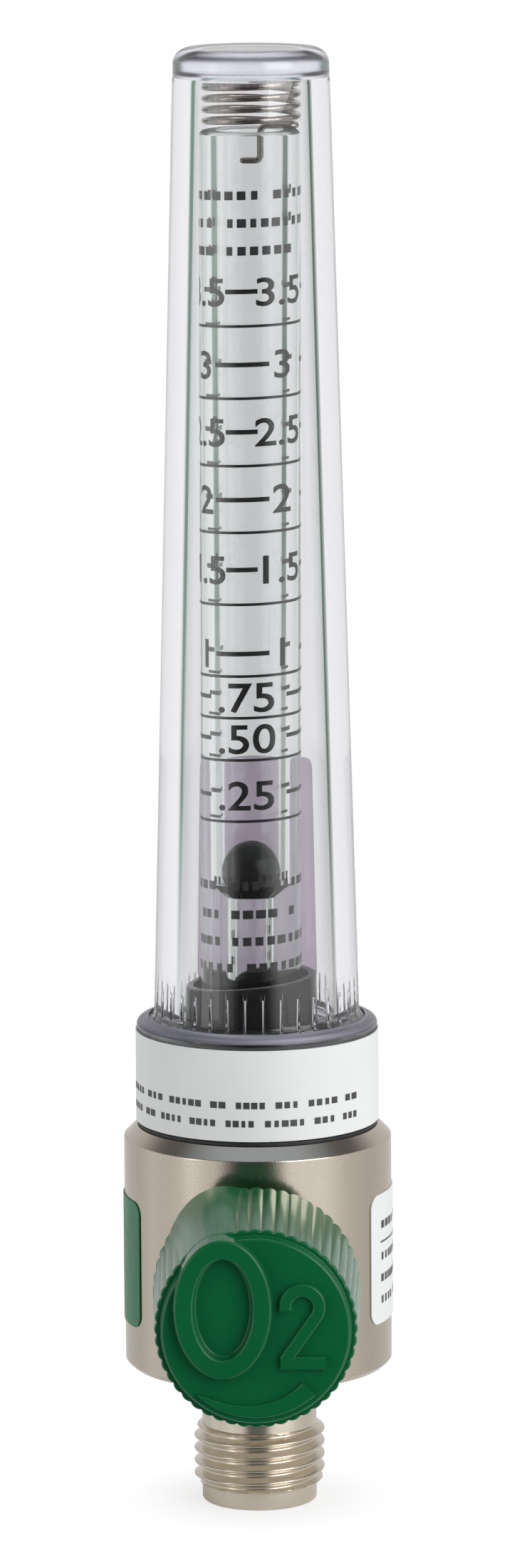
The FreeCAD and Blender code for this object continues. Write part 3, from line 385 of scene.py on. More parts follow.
def build_level(tree, given):
    """1 above a height on the Z axis and 0 below it, with a soft step."""
    height = add(tree, "SeparateXYZ", {0: place_in(tree)}).outputs["Z"]
    return ranged(tree, height, given["Height"], calculated(tree, "ADD", given["Height"], given["Softness"]))


def build_rings(tree, given):
    """Noise that runs round the Z axis in rings: it varies with the distance from the axis and the height."""
    place = place_in(tree)
    parts = add(tree, "SeparateXYZ", {0: place}).outputs
    axes = [calculated(tree, "MULTIPLY", socket, given[scale])
            for socket, scale in ((parts["X"], "Round"), (reach_of(tree, place), "Across"),
                                  (parts["Z"], "Up"))]
    vector = add(tree, "CombineXYZ", dict(enumerate(axes))).outputs[0]
    value = add(tree, "TexNoise", {"Vector": vector, "Scale": 1.0, "Detail": 2.0}).outputs[0]
    return ranged(tree, value, *RING_CONTRAST)


def build_reach(tree, given):
    """1 beyond a distance from the Z axis and 0 nearer, with a sharp step."""
    return calculated(tree, "GREATER_THAN", reach_of(tree, place_in(tree)), given["Radius"])


SURFACE_NOISE = shader_group("Surface noise", build_noise, "Value", Stretch=(1000, 1000, 1000), Contrast=1.0)
ABOVE_LEVEL = shader_group("Above a level", build_level, "Mask", Height=0.0, Softness=0.0005)
RING_NOISE = shader_group("Ring noise", build_rings, "Value", Round=60.0, Across=2600.0, Up=2600.0)
BEYOND_RADIUS = shader_group("Beyond a radius", build_reach, "Mask", Radius=0.0)
print("groups", [tree.name for tree in bpy.data.node_groups])

# %% [markdown]
# ### Groups in a material
# A material places a group with its own numbers and joins the results with a few mixes. The Principled shader
# stays in the material itself.

# %% Material helpers


def placed(tree, group, **values):
    """A shared group in a material's tree, with values of its own."""
    node = tree.nodes.new("ShaderNodeGroup")
    node.node_tree = group
    for name, value in values.items():
        node.inputs[name].default_value = value
    return node.outputs[0]


def noise(tree, stretch, contrast=1.0):
    """The shared noise. The stretch is in cycles per metre along X, Y and Z, or one number for all three."""
    return placed(tree, SURFACE_NOISE, Stretch=stretch if isinstance(stretch, tuple) else (stretch,) * 3,
                  Contrast=contrast)


def above(tree, height, softness=0.3):
    """The shared level mask, in millimetres."""
    return placed(tree, ABOVE_LEVEL, Height=height * MM, Softness=softness * MM)


def rings(tree, across, up, along=60):
    """The shared rings, in cycles per metre across the axis, along it and round it."""
    return placed(tree, RING_NOISE, Round=along, Across=across, Up=up)


def beyond(tree, radius):
    """The shared radius mask, in millimetres."""
    return placed(tree, BEYOND_RADIUS, Radius=radius * MM)


def spread(tree, value, least, most):
    """A value from 0 to 1, moved to run from the least to the most."""
    return add(tree, "MapRange", {"Value": value, "To Min": least, "To Max": most}).outputs[0]


def either(tree, mask, first, second):
    """The first number where the mask is 0, the second where it is 1."""
    return add(tree, "Mix", {"Factor": mask, 2: first, 3: second}).outputs[0]


def between(tree, mask, first, second):
    """The same for two colours."""
    mix = add(tree, "Mix", {"Factor": mask}, data_type="RGBA")
    for slot, colour in ((6, first), (7, second)):
        if isinstance(colour, bpy.types.NodeSocket):
            tree.links.new(colour, mix.inputs[slot])
        else:
            mix.inputs[slot].default_value = (*colour, 1)
    return mix.outputs[2]


def material(name, base, roughness, plain, height=None, relief=0.01):
    """A Principled material. base(tree) and roughness(tree) give sockets, plain holds numbers for the
    shader's own sockets, and height(tree) gives a bump of relief millimetres."""
    made = bpy.data.materials.new(name)
    made.use_nodes = True
    tree = made.node_tree
    shader = tree.nodes["Principled BSDF"]
    for socket, value in plain.items():
        shader.inputs[socket].default_value = value
    tree.links.new(base(tree), shader.inputs["Base Color"])
    tree.links.new(roughness(tree), shader.inputs["Roughness"])
    if height:
        bump = add(tree, "Bump", {"Height": height(tree), "Strength": 1.0, "Distance": relief * MM})
        tree.links.new(bump.outputs[0], shader.inputs["Normal"])
    return made


# %% [markdown]
# ## Finishes
# The brass parts have a warm satin nickel plating: a fine grain all over and slow smudges in the gloss. A
# picture of worn metal would repeat itself and needs a file, so the shared noise makes all of it. Colours are
# linear values.

# %% Metals


def grained(name, mottle, dark, light, sheen, gloss, plain, grain=None, relief=0.01):
    """Most finishes are built alike. mottle, sheen and grain are the (stretch, contrast) of the shared noise:
    between the two colours, between the two values of gloss, and in a bump of relief millimetres."""
    return material(name, lambda tree: between(tree, noise(tree, *mottle), dark, light),
                    lambda tree: spread(tree, noise(tree, *sheen), *gloss), plain,
                    grain and (lambda tree: noise(tree, *grain)), relief)


METAL = {"Metallic": 1.0}
FINE = (9000, 1.2)
SMUDGE = ((90, 90, 60), 1.0)
TURNED = ((60, 9000, 60), 0.9)
PORES = (5000, 1.6)
nickel = grained("satin_nickel", FINE, (0.57, 0.505, 0.42), (0.65, 0.585, 0.495), SMUDGE, (0.15, 0.22), METAL,
                 (7000, 0.8), 0.004)
# Painted light: the thread's plating is the drum's nickel made lighter. Its turned rings in the bump are
# real.
thread_nickel = grained("lit_turned_nickel", FINE, (0.66, 0.60, 0.51), (0.76, 0.69, 0.59), SMUDGE, (0.17, 0.24),
                        METAL, ((200, 200, 9000), 0.8), 0.003)
wire_steel = grained("spring_steel", (4000, 1.0), (0.30, 0.27, 0.24), (0.50, 0.46, 0.41), (500, 1.0),
                     (0.12, 0.20), METAL, (3000, 0.8), 0.004)
brass = grained("bare_brass", (300, 1.0), (0.70, 0.48, 0.20), (0.80, 0.60, 0.29), TURNED, (0.22, 0.36), METAL,
                TURNED, 0.003)
bronze = grained("sintered_bronze", PORES, (0.20, 0.11, 0.05), (0.62, 0.40, 0.20), PORES, (0.35, 0.6), METAL,
                 PORES, 0.05)
print("metals", [each.name for each in (nickel, thread_nickel, wire_steel, brass, bronze)])

# %% [markdown]
# ### Moulded parts
# The knob is a dark green moulding with a light spark texture, the collar and the seals are black. A moulding
# is never one flat colour: two near shades and a gloss that wanders a little are enough to show that.

# %% Plastics and rubber
green = grained("green_moulding", (120, 0.8), (0.0024, 0.108, 0.033), (0.0030, 0.125, 0.039), (2500, 1.0),
                (0.15, 0.21), {"IOR": 1.5, "Specular IOR Level": 0.4}, (5000, 0.8), 0.002)
black_plastic = grained("black_moulding", (200, 0.8), (0.012, 0.013, 0.014), (0.020, 0.021, 0.023),
                        (300, 1.0), (0.20, 0.30), {"IOR": 1.5, "Specular IOR Level": 0.3}, (4000, 0.8), 0.003)
ball_black = grained("polished_black", (400, 0.8), (0.010, 0.011, 0.013), (0.016, 0.017, 0.019), (500, 1.0),
                     (0.20, 0.28), {"IOR": 1.5, "Specular IOR Level": 0.25}, (1500, 0.8), 0.002)
rubber = grained("black_rubber", (900, 1.0), (0.010, 0.010, 0.012), (0.022, 0.022, 0.025), (2500, 1.0),
                 (0.42, 0.6), {"IOR": 1.5}, (3000, 1.0), 0.008)
washer_white = grained("white_washer", (900, 1.0), (0.62, 0.62, 0.60), (0.74, 0.74, 0.72), (900, 1.0),
                       (0.35, 0.5), {"IOR": 1.45})
print("mouldings", [each.name for each in (green, black_plastic, ball_black, rubber, washer_white)])

# %% [markdown]
# ### Labels and ink
# A printed film has faint clouds, an orange peel surface and a thin coat. The rear label is seen through the
# cover and lets light through, so it takes transmission in place of the coat. It is a white label seen from
# its back, and its lavender grey colour is painted shade.

# %% Films and ink
CLOUDS, HAZE, ORANGE_PEEL = (150, 0.7), (700, 1.0), (1200, 0.8)
FILM_RELIEF = 0.002


def film_material(name, dark, light):
    """A printed film: one colour with faint clouds under a thin, slightly rough coat."""
    return grained(name, CLOUDS, dark, light, HAZE, (0.34, 0.46),
                   {"IOR": 1.45, "Coat Weight": 0.1, "Coat Roughness": 0.15}, ORANGE_PEEL, FILM_RELIEF)


white_film = film_material("white_film", (0.83, 0.85, 0.845), (0.87, 0.89, 0.885))
green_film = film_material("green_film", (0.020, 0.17, 0.075), (0.026, 0.20, 0.09))
# Painted shade: the rear label is white, and its darker lavender grey stands for the shade inside the cover
# where its back is seen.
shaded_rear_film = grained("shaded_rear_film", CLOUDS, (0.58, 0.49, 0.60), (0.64, 0.55, 0.66), HAZE, (0.10, 0.22),
                      {"IOR": 1.4, "Transmission Weight": 0.92}, ORANGE_PEEL, FILM_RELIEF)
ink = film_material("scale_ink", (0.010, 0.010, 0.011), (0.020, 0.020, 0.022))
pale_ink = film_material("pale_ink", (0.045, 0.045, 0.048), (0.075, 0.075, 0.080))
print("films and ink", [each.name for each in (white_film, green_film, shaded_rear_film, ink, pale_ink)])

# %% [markdown]
# ### Clear parts
# Cover and tube are clear, with a trace of grey violet and of green where the light runs a long way through
# them. A tint on the surface alone would colour thin and thick places alike, so Volume Absorption adds the
# rest. The flange's top is matt and the notches are cut, and both get skins of their own: the flange's skin
# has painted light in its pale colour, and the notches' pale strips are painted highlights.

# %% Clear plastic and glass
LEVEL_RINGS = ((40, 40, 2600), 1.2)
GLOSS_CLOUDS = ((250, 250, 120), 1.0)
TINT_CLOUDS = ((60, 60, 40), 0.8)
SLOW_WAVES = ((60, 60, 25), 0.6)
RINGED_GLOSS = (0.06, 0.22)
WAVE_HEIGHT = (0.45, 0.55)
CLEAR_RELIEF = 0.05
SKIN_RINGS = (800, 1500)


def clear(name, tint, gloss, index, colour, density, dull_from, dull, dull_tint, rings_below=0.0, glued=None):
    """A clear solid. The tint is the surface colour, and colour and density set what a long path absorbs.
    Above dull_from, in millimetres, the surface is less glossy and takes another tint. Below rings_below it
    has the fine level rings that a mould's turned insert leaves. glued gives the radius and the height of a
    face that a label sticks to: it scatters, so the white label lights the solid from outside."""
    def ringed(tree):
        """Level rings: noise that changes fast along Z only."""
        return noise(tree, *LEVEL_RINGS)

    def roughness(tree):
        """Glossy with faint clouds, duller above, ringed below, and quite rough where a label is glued on."""
        value = spread(tree, noise(tree, *GLOSS_CLOUDS), *gloss)
        marked = spread(tree, ringed(tree), *RINGED_GLOSS)
        value = either(tree, above(tree, dull_from), value, dull)
        value = either(tree, above(tree, rings_below), marked, value)
        if not glued:
            return value
        under = calculated(tree, "SUBTRACT", beyond(tree, glued[0]), above(tree, glued[1]))
        return either(tree, under, value, 1.0)

    def ripple(tree):
        """The bump's height: the rings below, and elsewhere a slow, faint waviness."""
        marked = ringed(tree)
        soft = spread(tree, noise(tree, *SLOW_WAVES), *WAVE_HEIGHT)
        return either(tree, above(tree, rings_below), marked, soft)

    def base(tree):
        """The tint with faint clouds, and the dull tint above."""
        cloudy = between(tree, noise(tree, *TINT_CLOUDS), tint, tuple(min(1, x * 1.01) for x in tint))
        return between(tree, above(tree, dull_from), cloudy, dull_tint)

    made = material(name, base, roughness, {"Transmission Weight": 1.0, "IOR": index}, ripple, CLEAR_RELIEF)
    tree = made.node_tree
    absorb = add(tree, "VolumeAbsorption", {"Color": (*colour, 1), "Density": density})
    tree.links.new(absorb.outputs[0], tree.nodes["Material Output"].inputs["Volume"])
    return made


clear_plastic = clear("clear_cover", tint=(0.90, 0.90, 0.905), gloss=(0.0, 0.02), index=1.58,
                      colour=(0.80, 0.80, 0.88), density=40, dull_from=CROWN_TOP - 3.2, dull=0.17,
                      dull_tint=(0.90, 0.905, 0.95), rings_below=SHROUD_FOOT + 11.7,
                      glued=(FLANGE_RADIUS - 0.03, SHROUD_FOOT + 10.2))
tube_glass = clear("tube_glass", tint=(0.962, 0.963, 0.963), gloss=(0.0, 0.01), index=1.50,
                   colour=(0.55, 0.88, 0.70), density=22, dull_from=TUBE_TOP - 0.35, dull=0.55,
                   dull_tint=(0.9, 0.9, 0.9))
# Painted light: the skin's pale lavender colour and its light rings stand for the light seen through the
# clear flange and its light streaks. Its roughness is the matt face of the mould.
skin = material(
    "matt_flange_painted_light",
    lambda tree: between(tree, rings(tree, *SKIN_RINGS), (0.20, 0.20, 0.25), (0.86, 0.85, 0.97)),
    lambda tree: spread(tree, rings(tree, *SKIN_RINGS), 0.2, 0.45),
    {"IOR": 1.3, "Transmission Weight": 0.74})
# Painted highlight: pale, rough strips whose colour draws the bright line that a lamp makes in each notch.
notch_highlight_strips = grained("notch_highlight_strip", (900, 1.0), (0.70, 0.71, 0.74), (0.84, 0.85, 0.87), (900, 1.0), (0.45, 0.7),
                  {"IOR": 1.5, "Transmission Weight": 0.3})
print("materials", len(bpy.data.materials))

# %% [markdown]
# ## The outlet fitting and its thread
# The fitting is turned from bar: a mouth bore, a plain pilot, a screw thread and a neck. The solid stops at
# the thread's crest, and here the thread is cut for real. A thread is a bump that repeats along the axis, and
# its phase moves by one pitch each turn, so height minus pitch times angle / full turn gives the place within
# the ridge.

# %% Thread and fitting
THREAD_PITCH = 1.411
THREAD_RADIUS = high("outlet_fitting", 0)
FLANK_SLOPE = 1 / tan(radians(30))
RIDGE_SOFTNESS = 0.10
PILOT_RADIUS = 6.25
PILOT_LENGTH = 1.9
THREAD_LENGTH = 6.6
MOUTH_RADIUS = 4.0
MOUTH_DEPTH = 9.0
MOUTH_CONE = 1.4
PASSAGE_RADIUS = 2.6
SPIGOT_RADIUS = 5.0
SPIGOT_TOP = high("outlet_fitting")
FITTING_COLUMNS = 180


def ridge(height, angle, depth, first, last):
    """Height of the thread at a place: a ridge with 60 degree sides, a narrow crest and a rounded root, which
    fades in and out over a 45 degree bevel at its first and last level. max(0, a) is softened as half of a +
    sqrt(a^2 + softness^2)."""
    phase = (height / THREAD_PITCH - angle / TURN) % 1.0
    from_crest = np.abs(phase - 0.5) * THREAD_PITCH
    raw = depth - FLANK_SLOPE * (from_crest - THREAD_PITCH / 16)
    lower = 0.5 * (raw + np.sqrt(raw**2 + RIDGE_SOFTNESS**2))
    over = lower - depth
    upper = np.minimum(depth, lower) - 0.5 * (np.sqrt(over**2 + RIDGE_SOFTNESS**2) - np.abs(over))
    ends = np.minimum(height - first, last - height)
    return np.clip(np.minimum(upper, ends + 0.25), 0, depth)


def threaded(grid, start, line, depth, first, last):
    """Adds the ridge to the radius of the grid's rows that began as a straight line."""
    angle = ring_angles(grid.shape[1])
    rise = ridge(line[:, 1:], angle, depth, first, last)
    rows = slice(start, start + len(line))
    grid[rows, :, 0] += rise * np.cos(angle)
    grid[rows, :, 1] += rise * np.sin(angle)
    return grid


def plain_cylinder(radius, first, last, rows):
    """Outline of a cylinder with many rows, for a thread to be cut in."""
    return np.stack([np.full(rows, radius), np.linspace(first, last, rows)], axis=-1)


def outlet_fitting():
    """The bore's and the pilot's outline, then the threaded rows, then the neck and the spigot's."""
    thread_top = PILOT_LENGTH + THREAD_LENGTH
    foot = rounded([(PASSAGE_RADIUS, SPIGOT_TOP, 0.1), (PASSAGE_RADIUS, MOUTH_DEPTH + MOUTH_CONE, 0.1),
                    (MOUTH_RADIUS, MOUTH_DEPTH, 0.1), (MOUTH_RADIUS, 0, 0.35), (PILOT_RADIUS, 0, 0.3),
                    (PILOT_RADIUS, PILOT_LENGTH, 0)])
    cut = plain_cylinder(PILOT_RADIUS, PILOT_LENGTH, thread_top, 132)
    neck = rounded([(PILOT_RADIUS, thread_top + 0.05, 0), (PILOT_RADIUS, BODY_FOOT, 0.1),
                    (SPIGOT_RADIUS, BODY_FOOT, 0), (SPIGOT_RADIUS, SPIGOT_TOP, 0.2),
                    (PASSAGE_RADIUS, SPIGOT_TOP, 0)])
    grid = turned(np.vstack([foot, cut, neck]), FITTING_COLUMNS)
    grid = threaded(grid, len(foot), cut, THREAD_RADIUS - PILOT_RADIUS, PILOT_LENGTH, thread_top)
    return surface("threaded_outlet", grid, wrap_rows=True)


dress(outlet_fitting(), thread_nickel, "meter", "nickel_plated_brass", "outlet_fitting")

# %% [markdown]
# ## The valve drum
# A turned drum with a bevelled shoulder, and a boss on top that the cover screws on. Flat faces are milled
# into its front and rear, where the bonnet and the inlet screw in. A lathe shape can carry them: its rows
# bend to follow the rim of each flat, two rows share that rim, and between them the radius is held to the
# flat's distance.

# %% Drum with milled flats
BODY_BEVEL = 1.35
BODY_FOOT_BEVEL = 0.6
BOSS_RADIUS = 10.0
FRONT_FACE = 13.6
FRONT_FACE_RADIUS = 7.0
REAR_FACE = 13.4
REAR_FACE_RADIUS = 8.6
SIDE_HALF = 6.0
BONNET_END = 9.7
BONNET_BORE = 4.95
NEEDLE_BORE = 3.05
NEEDLE_DEPTH = 3.2
NEEDLE_EDGE = 0.2
BORE_EDGE = 0.25
DRUM_COLUMNS = 240


def drum_side():
    """Rows of the drum's side. At an angle the flat's rim lies at centre -+ sqrt(reach^2 - x^2), and inside
    it the radius is the flat's distance over the sine of the angle. Towards the drum's left and right, where
    there is no flat, the same rows run level."""
    angle = ring_angles(DRUM_COLUMNS)
    across = np.abs(BODY_RADIUS * np.cos(angle))
    front = np.sin(angle) < 0
    face = np.where(front, FRONT_FACE, REAR_FACE)
    reach = np.where(front, FRONT_FACE_RADIUS, REAR_FACE_RADIUS)
    centre = np.where(front, VALVE_HEIGHT, INLET_HEIGHT)
    edge = np.sqrt(BODY_RADIUS**2 - face**2)
    half = np.sqrt(reach**2 - np.minimum(across, edge) ** 2)
    side = np.clip((across - edge) / (BODY_RADIUS - edge), 0, 1)
    side = side * side * (3 - 2 * side)
    centre = centre * (1 - side) + (VALVE_HEIGHT + INLET_HEIGHT) / 2 * side
    half = half * (1 - side) + SIDE_HALF * side
    held = np.minimum(BODY_RADIUS, face / np.maximum(np.abs(np.sin(angle)), 1e-6))
    bottom, top = BODY_FOOT + BODY_FOOT_BEVEL + 0.2, BODY_TOP - BODY_BEVEL - 0.3
    rows = []
    for start, end, radius, count in ((bottom, centre - half, BODY_RADIUS, 10),
                                      (centre - half, centre + half, held, 46),
                                      (centre + half, top, BODY_RADIUS, 10)):
        share = np.linspace(0, 1, count)[:, None]
        rows.append(round_axis(radius, angle, start * (1 - share) + end * share))
    return bored(np.concatenate(rows))


def bored(grid):
    """Sinks the bonnet's bore and the needle's bore into the front: a vertex's distance from the valve's axis
    decides how deep it goes. The bonnet covers the bore's edge."""
    x, y, z = np.moveaxis(grid, -1, 0)
    reach = np.hypot(x, z - VALVE_HEIGHT)
    floor = -np.interp(reach, [NEEDLE_BORE, NEEDLE_BORE + NEEDLE_EDGE], [NEEDLE_DEPTH, BONNET_END - 0.05])
    share = np.interp(reach, [BONNET_BORE, BONNET_BORE + BORE_EDGE], [1, 0]) * (y < 0)
    return np.stack([x, y * (1 - share) + floor * share, z], axis=-1)


def valve_drum():
    """The foot's outline, the side's rows and the outline over the shoulder and the boss, as one grid."""
    foot = rounded([(0, BODY_FOOT, 0), (BODY_RADIUS - BODY_FOOT_BEVEL, BODY_FOOT, 0.12),
                    (BODY_RADIUS, BODY_FOOT + BODY_FOOT_BEVEL, 0.12), (BODY_RADIUS, BODY_FOOT + 1.4, 0)])[:-1]
    crown = rounded([(BODY_RADIUS, BODY_TOP - 3, 0), (BODY_RADIUS, BODY_TOP - BODY_BEVEL, 0.25),
                     (BODY_RADIUS - BODY_BEVEL, BODY_TOP, 0.18), (BOSS_RADIUS, BODY_TOP, 0),
                     (BOSS_RADIUS, BOSS_TOP, 0.2), (0, BOSS_TOP, 0)])[1:]
    grid = np.concatenate([turned(foot, DRUM_COLUMNS), drum_side(), turned(crown, DRUM_COLUMNS)])
    return surface("valve_drum", grid)


dress(valve_drum(), nickel, "meter", "nickel_plated_brass", "valve_body")

# %% [markdown]
# ## Hexagons: bonnet, nipple and nut
# A hexagon is a lathe shape whose radius is held inside six flats. Where the turned bevel at its end meets a
# flat, the two surfaces cut each other in the curved edge that every real nut has. The nut's thread is cut
# inside its bore with the same ridge formula as on the outlet.

# %% Hexagon sizes
BONNET_ACROSS = 11.0
BONNET_HEX = (FRONT_FACE + 0.5, FRONT_FACE + 2.7)
BONNET_RADIUS = 4.9
STEM_BORE = 2.58
NIPPLE_ACROSS = 14.0
NIPPLE_HEX = (REAR_FACE, REAR_FACE + 3.0)
NIPPLE_ROOT = 5.9
NIPPLE_THREAD_RADIUS = 5.05
NECK_RADIUS = 4.2
SHOULDER_RADIUS = 5.9
SHOULDER = (22.6, 24.6)
NOSE_RADIUS = 3.85
NOSE_BEVEL = 0.8
NOSE_BORE = 2.2
NOSE_GROOVE = (28.53, 29.47)
GROOVE_RADIUS = 3.0
NUT_ACROSS = 17.5
NUT_WEB = 3.5
NUT_BORE_RADIUS = NECK_RADIUS + 0.08
NUT_THREAD_RADIUS = 6.45
NUT_THREAD_DEPTH = 0.65
BEVEL_SLOPE = tan(radians(30))
HEXAGON_COLUMNS = 180
HEXAGON_CRISP = 28
print("inlet from", round(NIPPLE_ROOT, 2), "to", round(NOSE_END, 2), "mm behind the axis")

# %% Bonnet, nipple and nut


def hexagon_rows(across, first, last, first_bevel=True, last_bevel=True, count=14):
    """Outline rows of a hexagon with turned bevels: from the flat's radius out to the corner's, the bevel
    drops by the extra radius times the tangent of 30 degrees."""
    radius = np.linspace(across / 2, across / 2 / cos(radians(30)), count)
    drop = (radius - across / 2) * BEVEL_SLOPE
    start = np.stack([radius, first + drop * first_bevel], axis=-1)
    end = np.stack([radius, last - drop * last_bevel], axis=-1)[::-1]
    middle = np.linspace(start[-1], end[0], 6)[1:-1]
    return np.vstack([start, middle, end])


def hexagonal(rows, across):
    """The outline turned, and held inside the hexagon."""
    return hexagon_limit(turned(rows, HEXAGON_COLUMNS), across)


def bonnet():
    """A collar with a stem bore and a hexagon at its outer end."""
    rows = np.vstack([
        [(STEM_BORE, BONNET_HEX[1]), (STEM_BORE, BONNET_END), (BONNET_RADIUS, BONNET_END),
         (BONNET_RADIUS, BONNET_HEX[0])],
        hexagon_rows(BONNET_ACROSS, *BONNET_HEX, first_bevel=False)])
    return surface("bonnet_nut", to_front(hexagonal(rows, BONNET_ACROSS)), wrap_rows=True,
                   crisp=HEXAGON_CRISP)


def nipple():
    """From the screwed root over the hexagon, the neck, the nut's shoulder and the grooved nose back to the
    bore."""
    hexagon = hexagon_rows(NIPPLE_ACROSS, *NIPPLE_HEX, first_bevel=False)
    root = np.array([(NOSE_BORE, NIPPLE_ROOT), (NIPPLE_THREAD_RADIUS, NIPPLE_ROOT),
                     (NIPPLE_THREAD_RADIUS, NIPPLE_HEX[0])])
    rest = rounded([(NIPPLE_ACROSS / 2, NIPPLE_HEX[1], 0), (NECK_RADIUS, NIPPLE_HEX[1], 0.15),
                    (NECK_RADIUS, SHOULDER[0], 0.1), (SHOULDER_RADIUS, SHOULDER[0], 0.15),
                    (SHOULDER_RADIUS, SHOULDER[1], 0.4), (NOSE_RADIUS, SHOULDER[1], 0.3),
                    (NOSE_RADIUS, NOSE_GROOVE[0], 0.08), (GROOVE_RADIUS, NOSE_GROOVE[0], 0.05),
                    (GROOVE_RADIUS, NOSE_GROOVE[1], 0.05), (NOSE_RADIUS, NOSE_GROOVE[1], 0.08),
                    (NOSE_RADIUS, NOSE_END - NOSE_BEVEL, 0.2), (NOSE_RADIUS - NOSE_BEVEL, NOSE_END, 0.15),
                    (NOSE_BORE, NOSE_END, 0.15), (NOSE_BORE, NOSE_END - 4, 0)])[1:]
    grid = hexagonal(np.vstack([root, hexagon, rest]), NIPPLE_ACROSS)
    return surface("inlet_stem", to_rear(grid), wrap_rows=True, crisp=HEXAGON_CRISP)


def nut():
    """The hexagon outside, the mouth, the threaded bore and the web that the nipple's shoulder pulls on."""
    hexagon = hexagon_rows(NUT_ACROSS, NUT_BACK, NUT_END)
    web = NUT_BACK + NUT_WEB
    mouth = rounded([(NUT_ACROSS / 2, NUT_END, 0), (NUT_THREAD_RADIUS + 0.5, NUT_END, 0.1),
                     (NUT_THREAD_RADIUS, NUT_END - 0.5, 0)])[1:]
    bore = plain_cylinder(NUT_THREAD_RADIUS, NUT_END - 0.55, web + 0.6, 220)
    back = rounded([(NUT_THREAD_RADIUS, web + 0.5, 0), (NUT_THREAD_RADIUS, web, 0.1),
                    (NUT_BORE_RADIUS, web, 0.1), (NUT_BORE_RADIUS, NUT_BACK, 0.1),
                    (NUT_ACROSS / 2, NUT_BACK, 0)])[:-1]
    grid = hexagonal(np.vstack([hexagon, mouth, bore, back]), NUT_ACROSS)
    grid = threaded(grid, len(hexagon) + len(mouth), bore, NUT_THREAD_DEPTH, web + 0.6, NUT_END - 0.5)
    return surface("swivel_nut", to_rear(grid), wrap_rows=True, crisp=HEXAGON_CRISP)


dress(bonnet(), nickel, "meter", "nickel_plated_brass", "valve_bonnet")
dress(nipple(), nickel, "meter", "nickel_plated_brass", "inlet_nipple")
dress(nut(), nickel, "nut", "nickel_plated_brass", "inlet_nut")

# %% [markdown]
# ## The knob
# One hollow moulding: 48 rounded ribs round the skirt, a raised disc in front and an oval lobe that runs the
# whole depth and flares backwards. Seen along the axis both are simple curves, so the skirt's radius at any
# angle is the larger of the two, blended softly. The lobe's front, a numeral and a tapered arc are raised on
# the disc.

# %% Knob sizes
RIB_COUNT = 48
RIB_RADIUS = 1.05
KNOB_FRONT = KNOB_BACK + 17.9
DISC_RADIUS = 9.93
DISC_FRONT = KNOB_FRONT + 1.1
CREST_BACK = high("knob", 0)
CREST_FRONT = CREST_BACK - 0.51
LOBE_CENTRE = (-3.43, 2.57)
LOBE_HALF = (5.1, 7.4)
LOBE_FLARE = 1.3
LOBE_RIM = 2.0
BLEND = 0.4
EDGE_ROUND = 0.22
INSERT_RADIUS = 3.6
INSERT_DEPTH = 10.1
SLEEVE_RADIUS = 4.7
SKIRT_INSIDE = (8.83, 8.32)
SKIRT_FOOT_RADIUS = 10.2
FACE_THICKNESS = 2.6
KNOB_COLUMNS = RIB_COUNT * 14
SKIRT_ROWS = 24
print("knob from", round(KNOB_BACK, 2), "to", round(OVAL_FRONT, 2), "mm in front of the axis")

# %% Knob surfaces
MOULDED_CRISP = 40


def rib_outline(angle, depth):
    """Radius of a ring of round ribs: crest centre c and rib radius p give c cos(a) + sqrt(p^2 - c^2
    sin^2(a)) for the angle a from the nearest rib."""
    share = (depth - KNOB_BACK) / (KNOB_FRONT - KNOB_BACK)
    centre = CREST_BACK + (CREST_FRONT - CREST_BACK) * share - RIB_RADIUS
    pitch = TURN / RIB_COUNT
    off = (angle + pitch / 2) % pitch - pitch / 2
    return centre * np.cos(off) + np.sqrt(RIB_RADIUS**2 - (centre * np.sin(off)) ** 2)


def lobe_half(depth):
    """Half width and half height of the lobe, which grow evenly towards the back."""
    flare = LOBE_FLARE * (OVAL_FRONT - depth) / (OVAL_FRONT - KNOB_BACK)
    return LOBE_HALF[0] + flare, LOBE_HALF[1] + flare


def lobe_outline(angle, depth):
    """Distance from the knob's axis to the offset oval, at an angle: the positive root of the ellipse's
    equation along that ray."""
    wide, tall = lobe_half(depth)
    across, up = np.cos(angle), np.sin(angle)
    a = (across / wide) ** 2 + (up / tall) ** 2
    b = -2 * (across * LOBE_CENTRE[0] / wide**2 + up * LOBE_CENTRE[1] / tall**2)
    c = (LOBE_CENTRE[0] / wide) ** 2 + (LOBE_CENTRE[1] / tall) ** 2 - 1
    return (-b + np.sqrt(b * b - 4 * a * c)) / (2 * a)


def skirt_radius(angle, depth):
    """The larger of the ribs' and the lobe's radius, softened: half of both and of sqrt(difference^2 +
    blend^2), less what the softening adds far from the crossing."""
    rib, lobe = rib_outline(angle, depth), lobe_outline(angle, depth)
    difference = rib - lobe
    larger = 0.5 * (rib + lobe + np.sqrt(difference**2 + BLEND**2))
    return larger - BLEND**2 / 4 / (np.abs(difference) + BLEND)


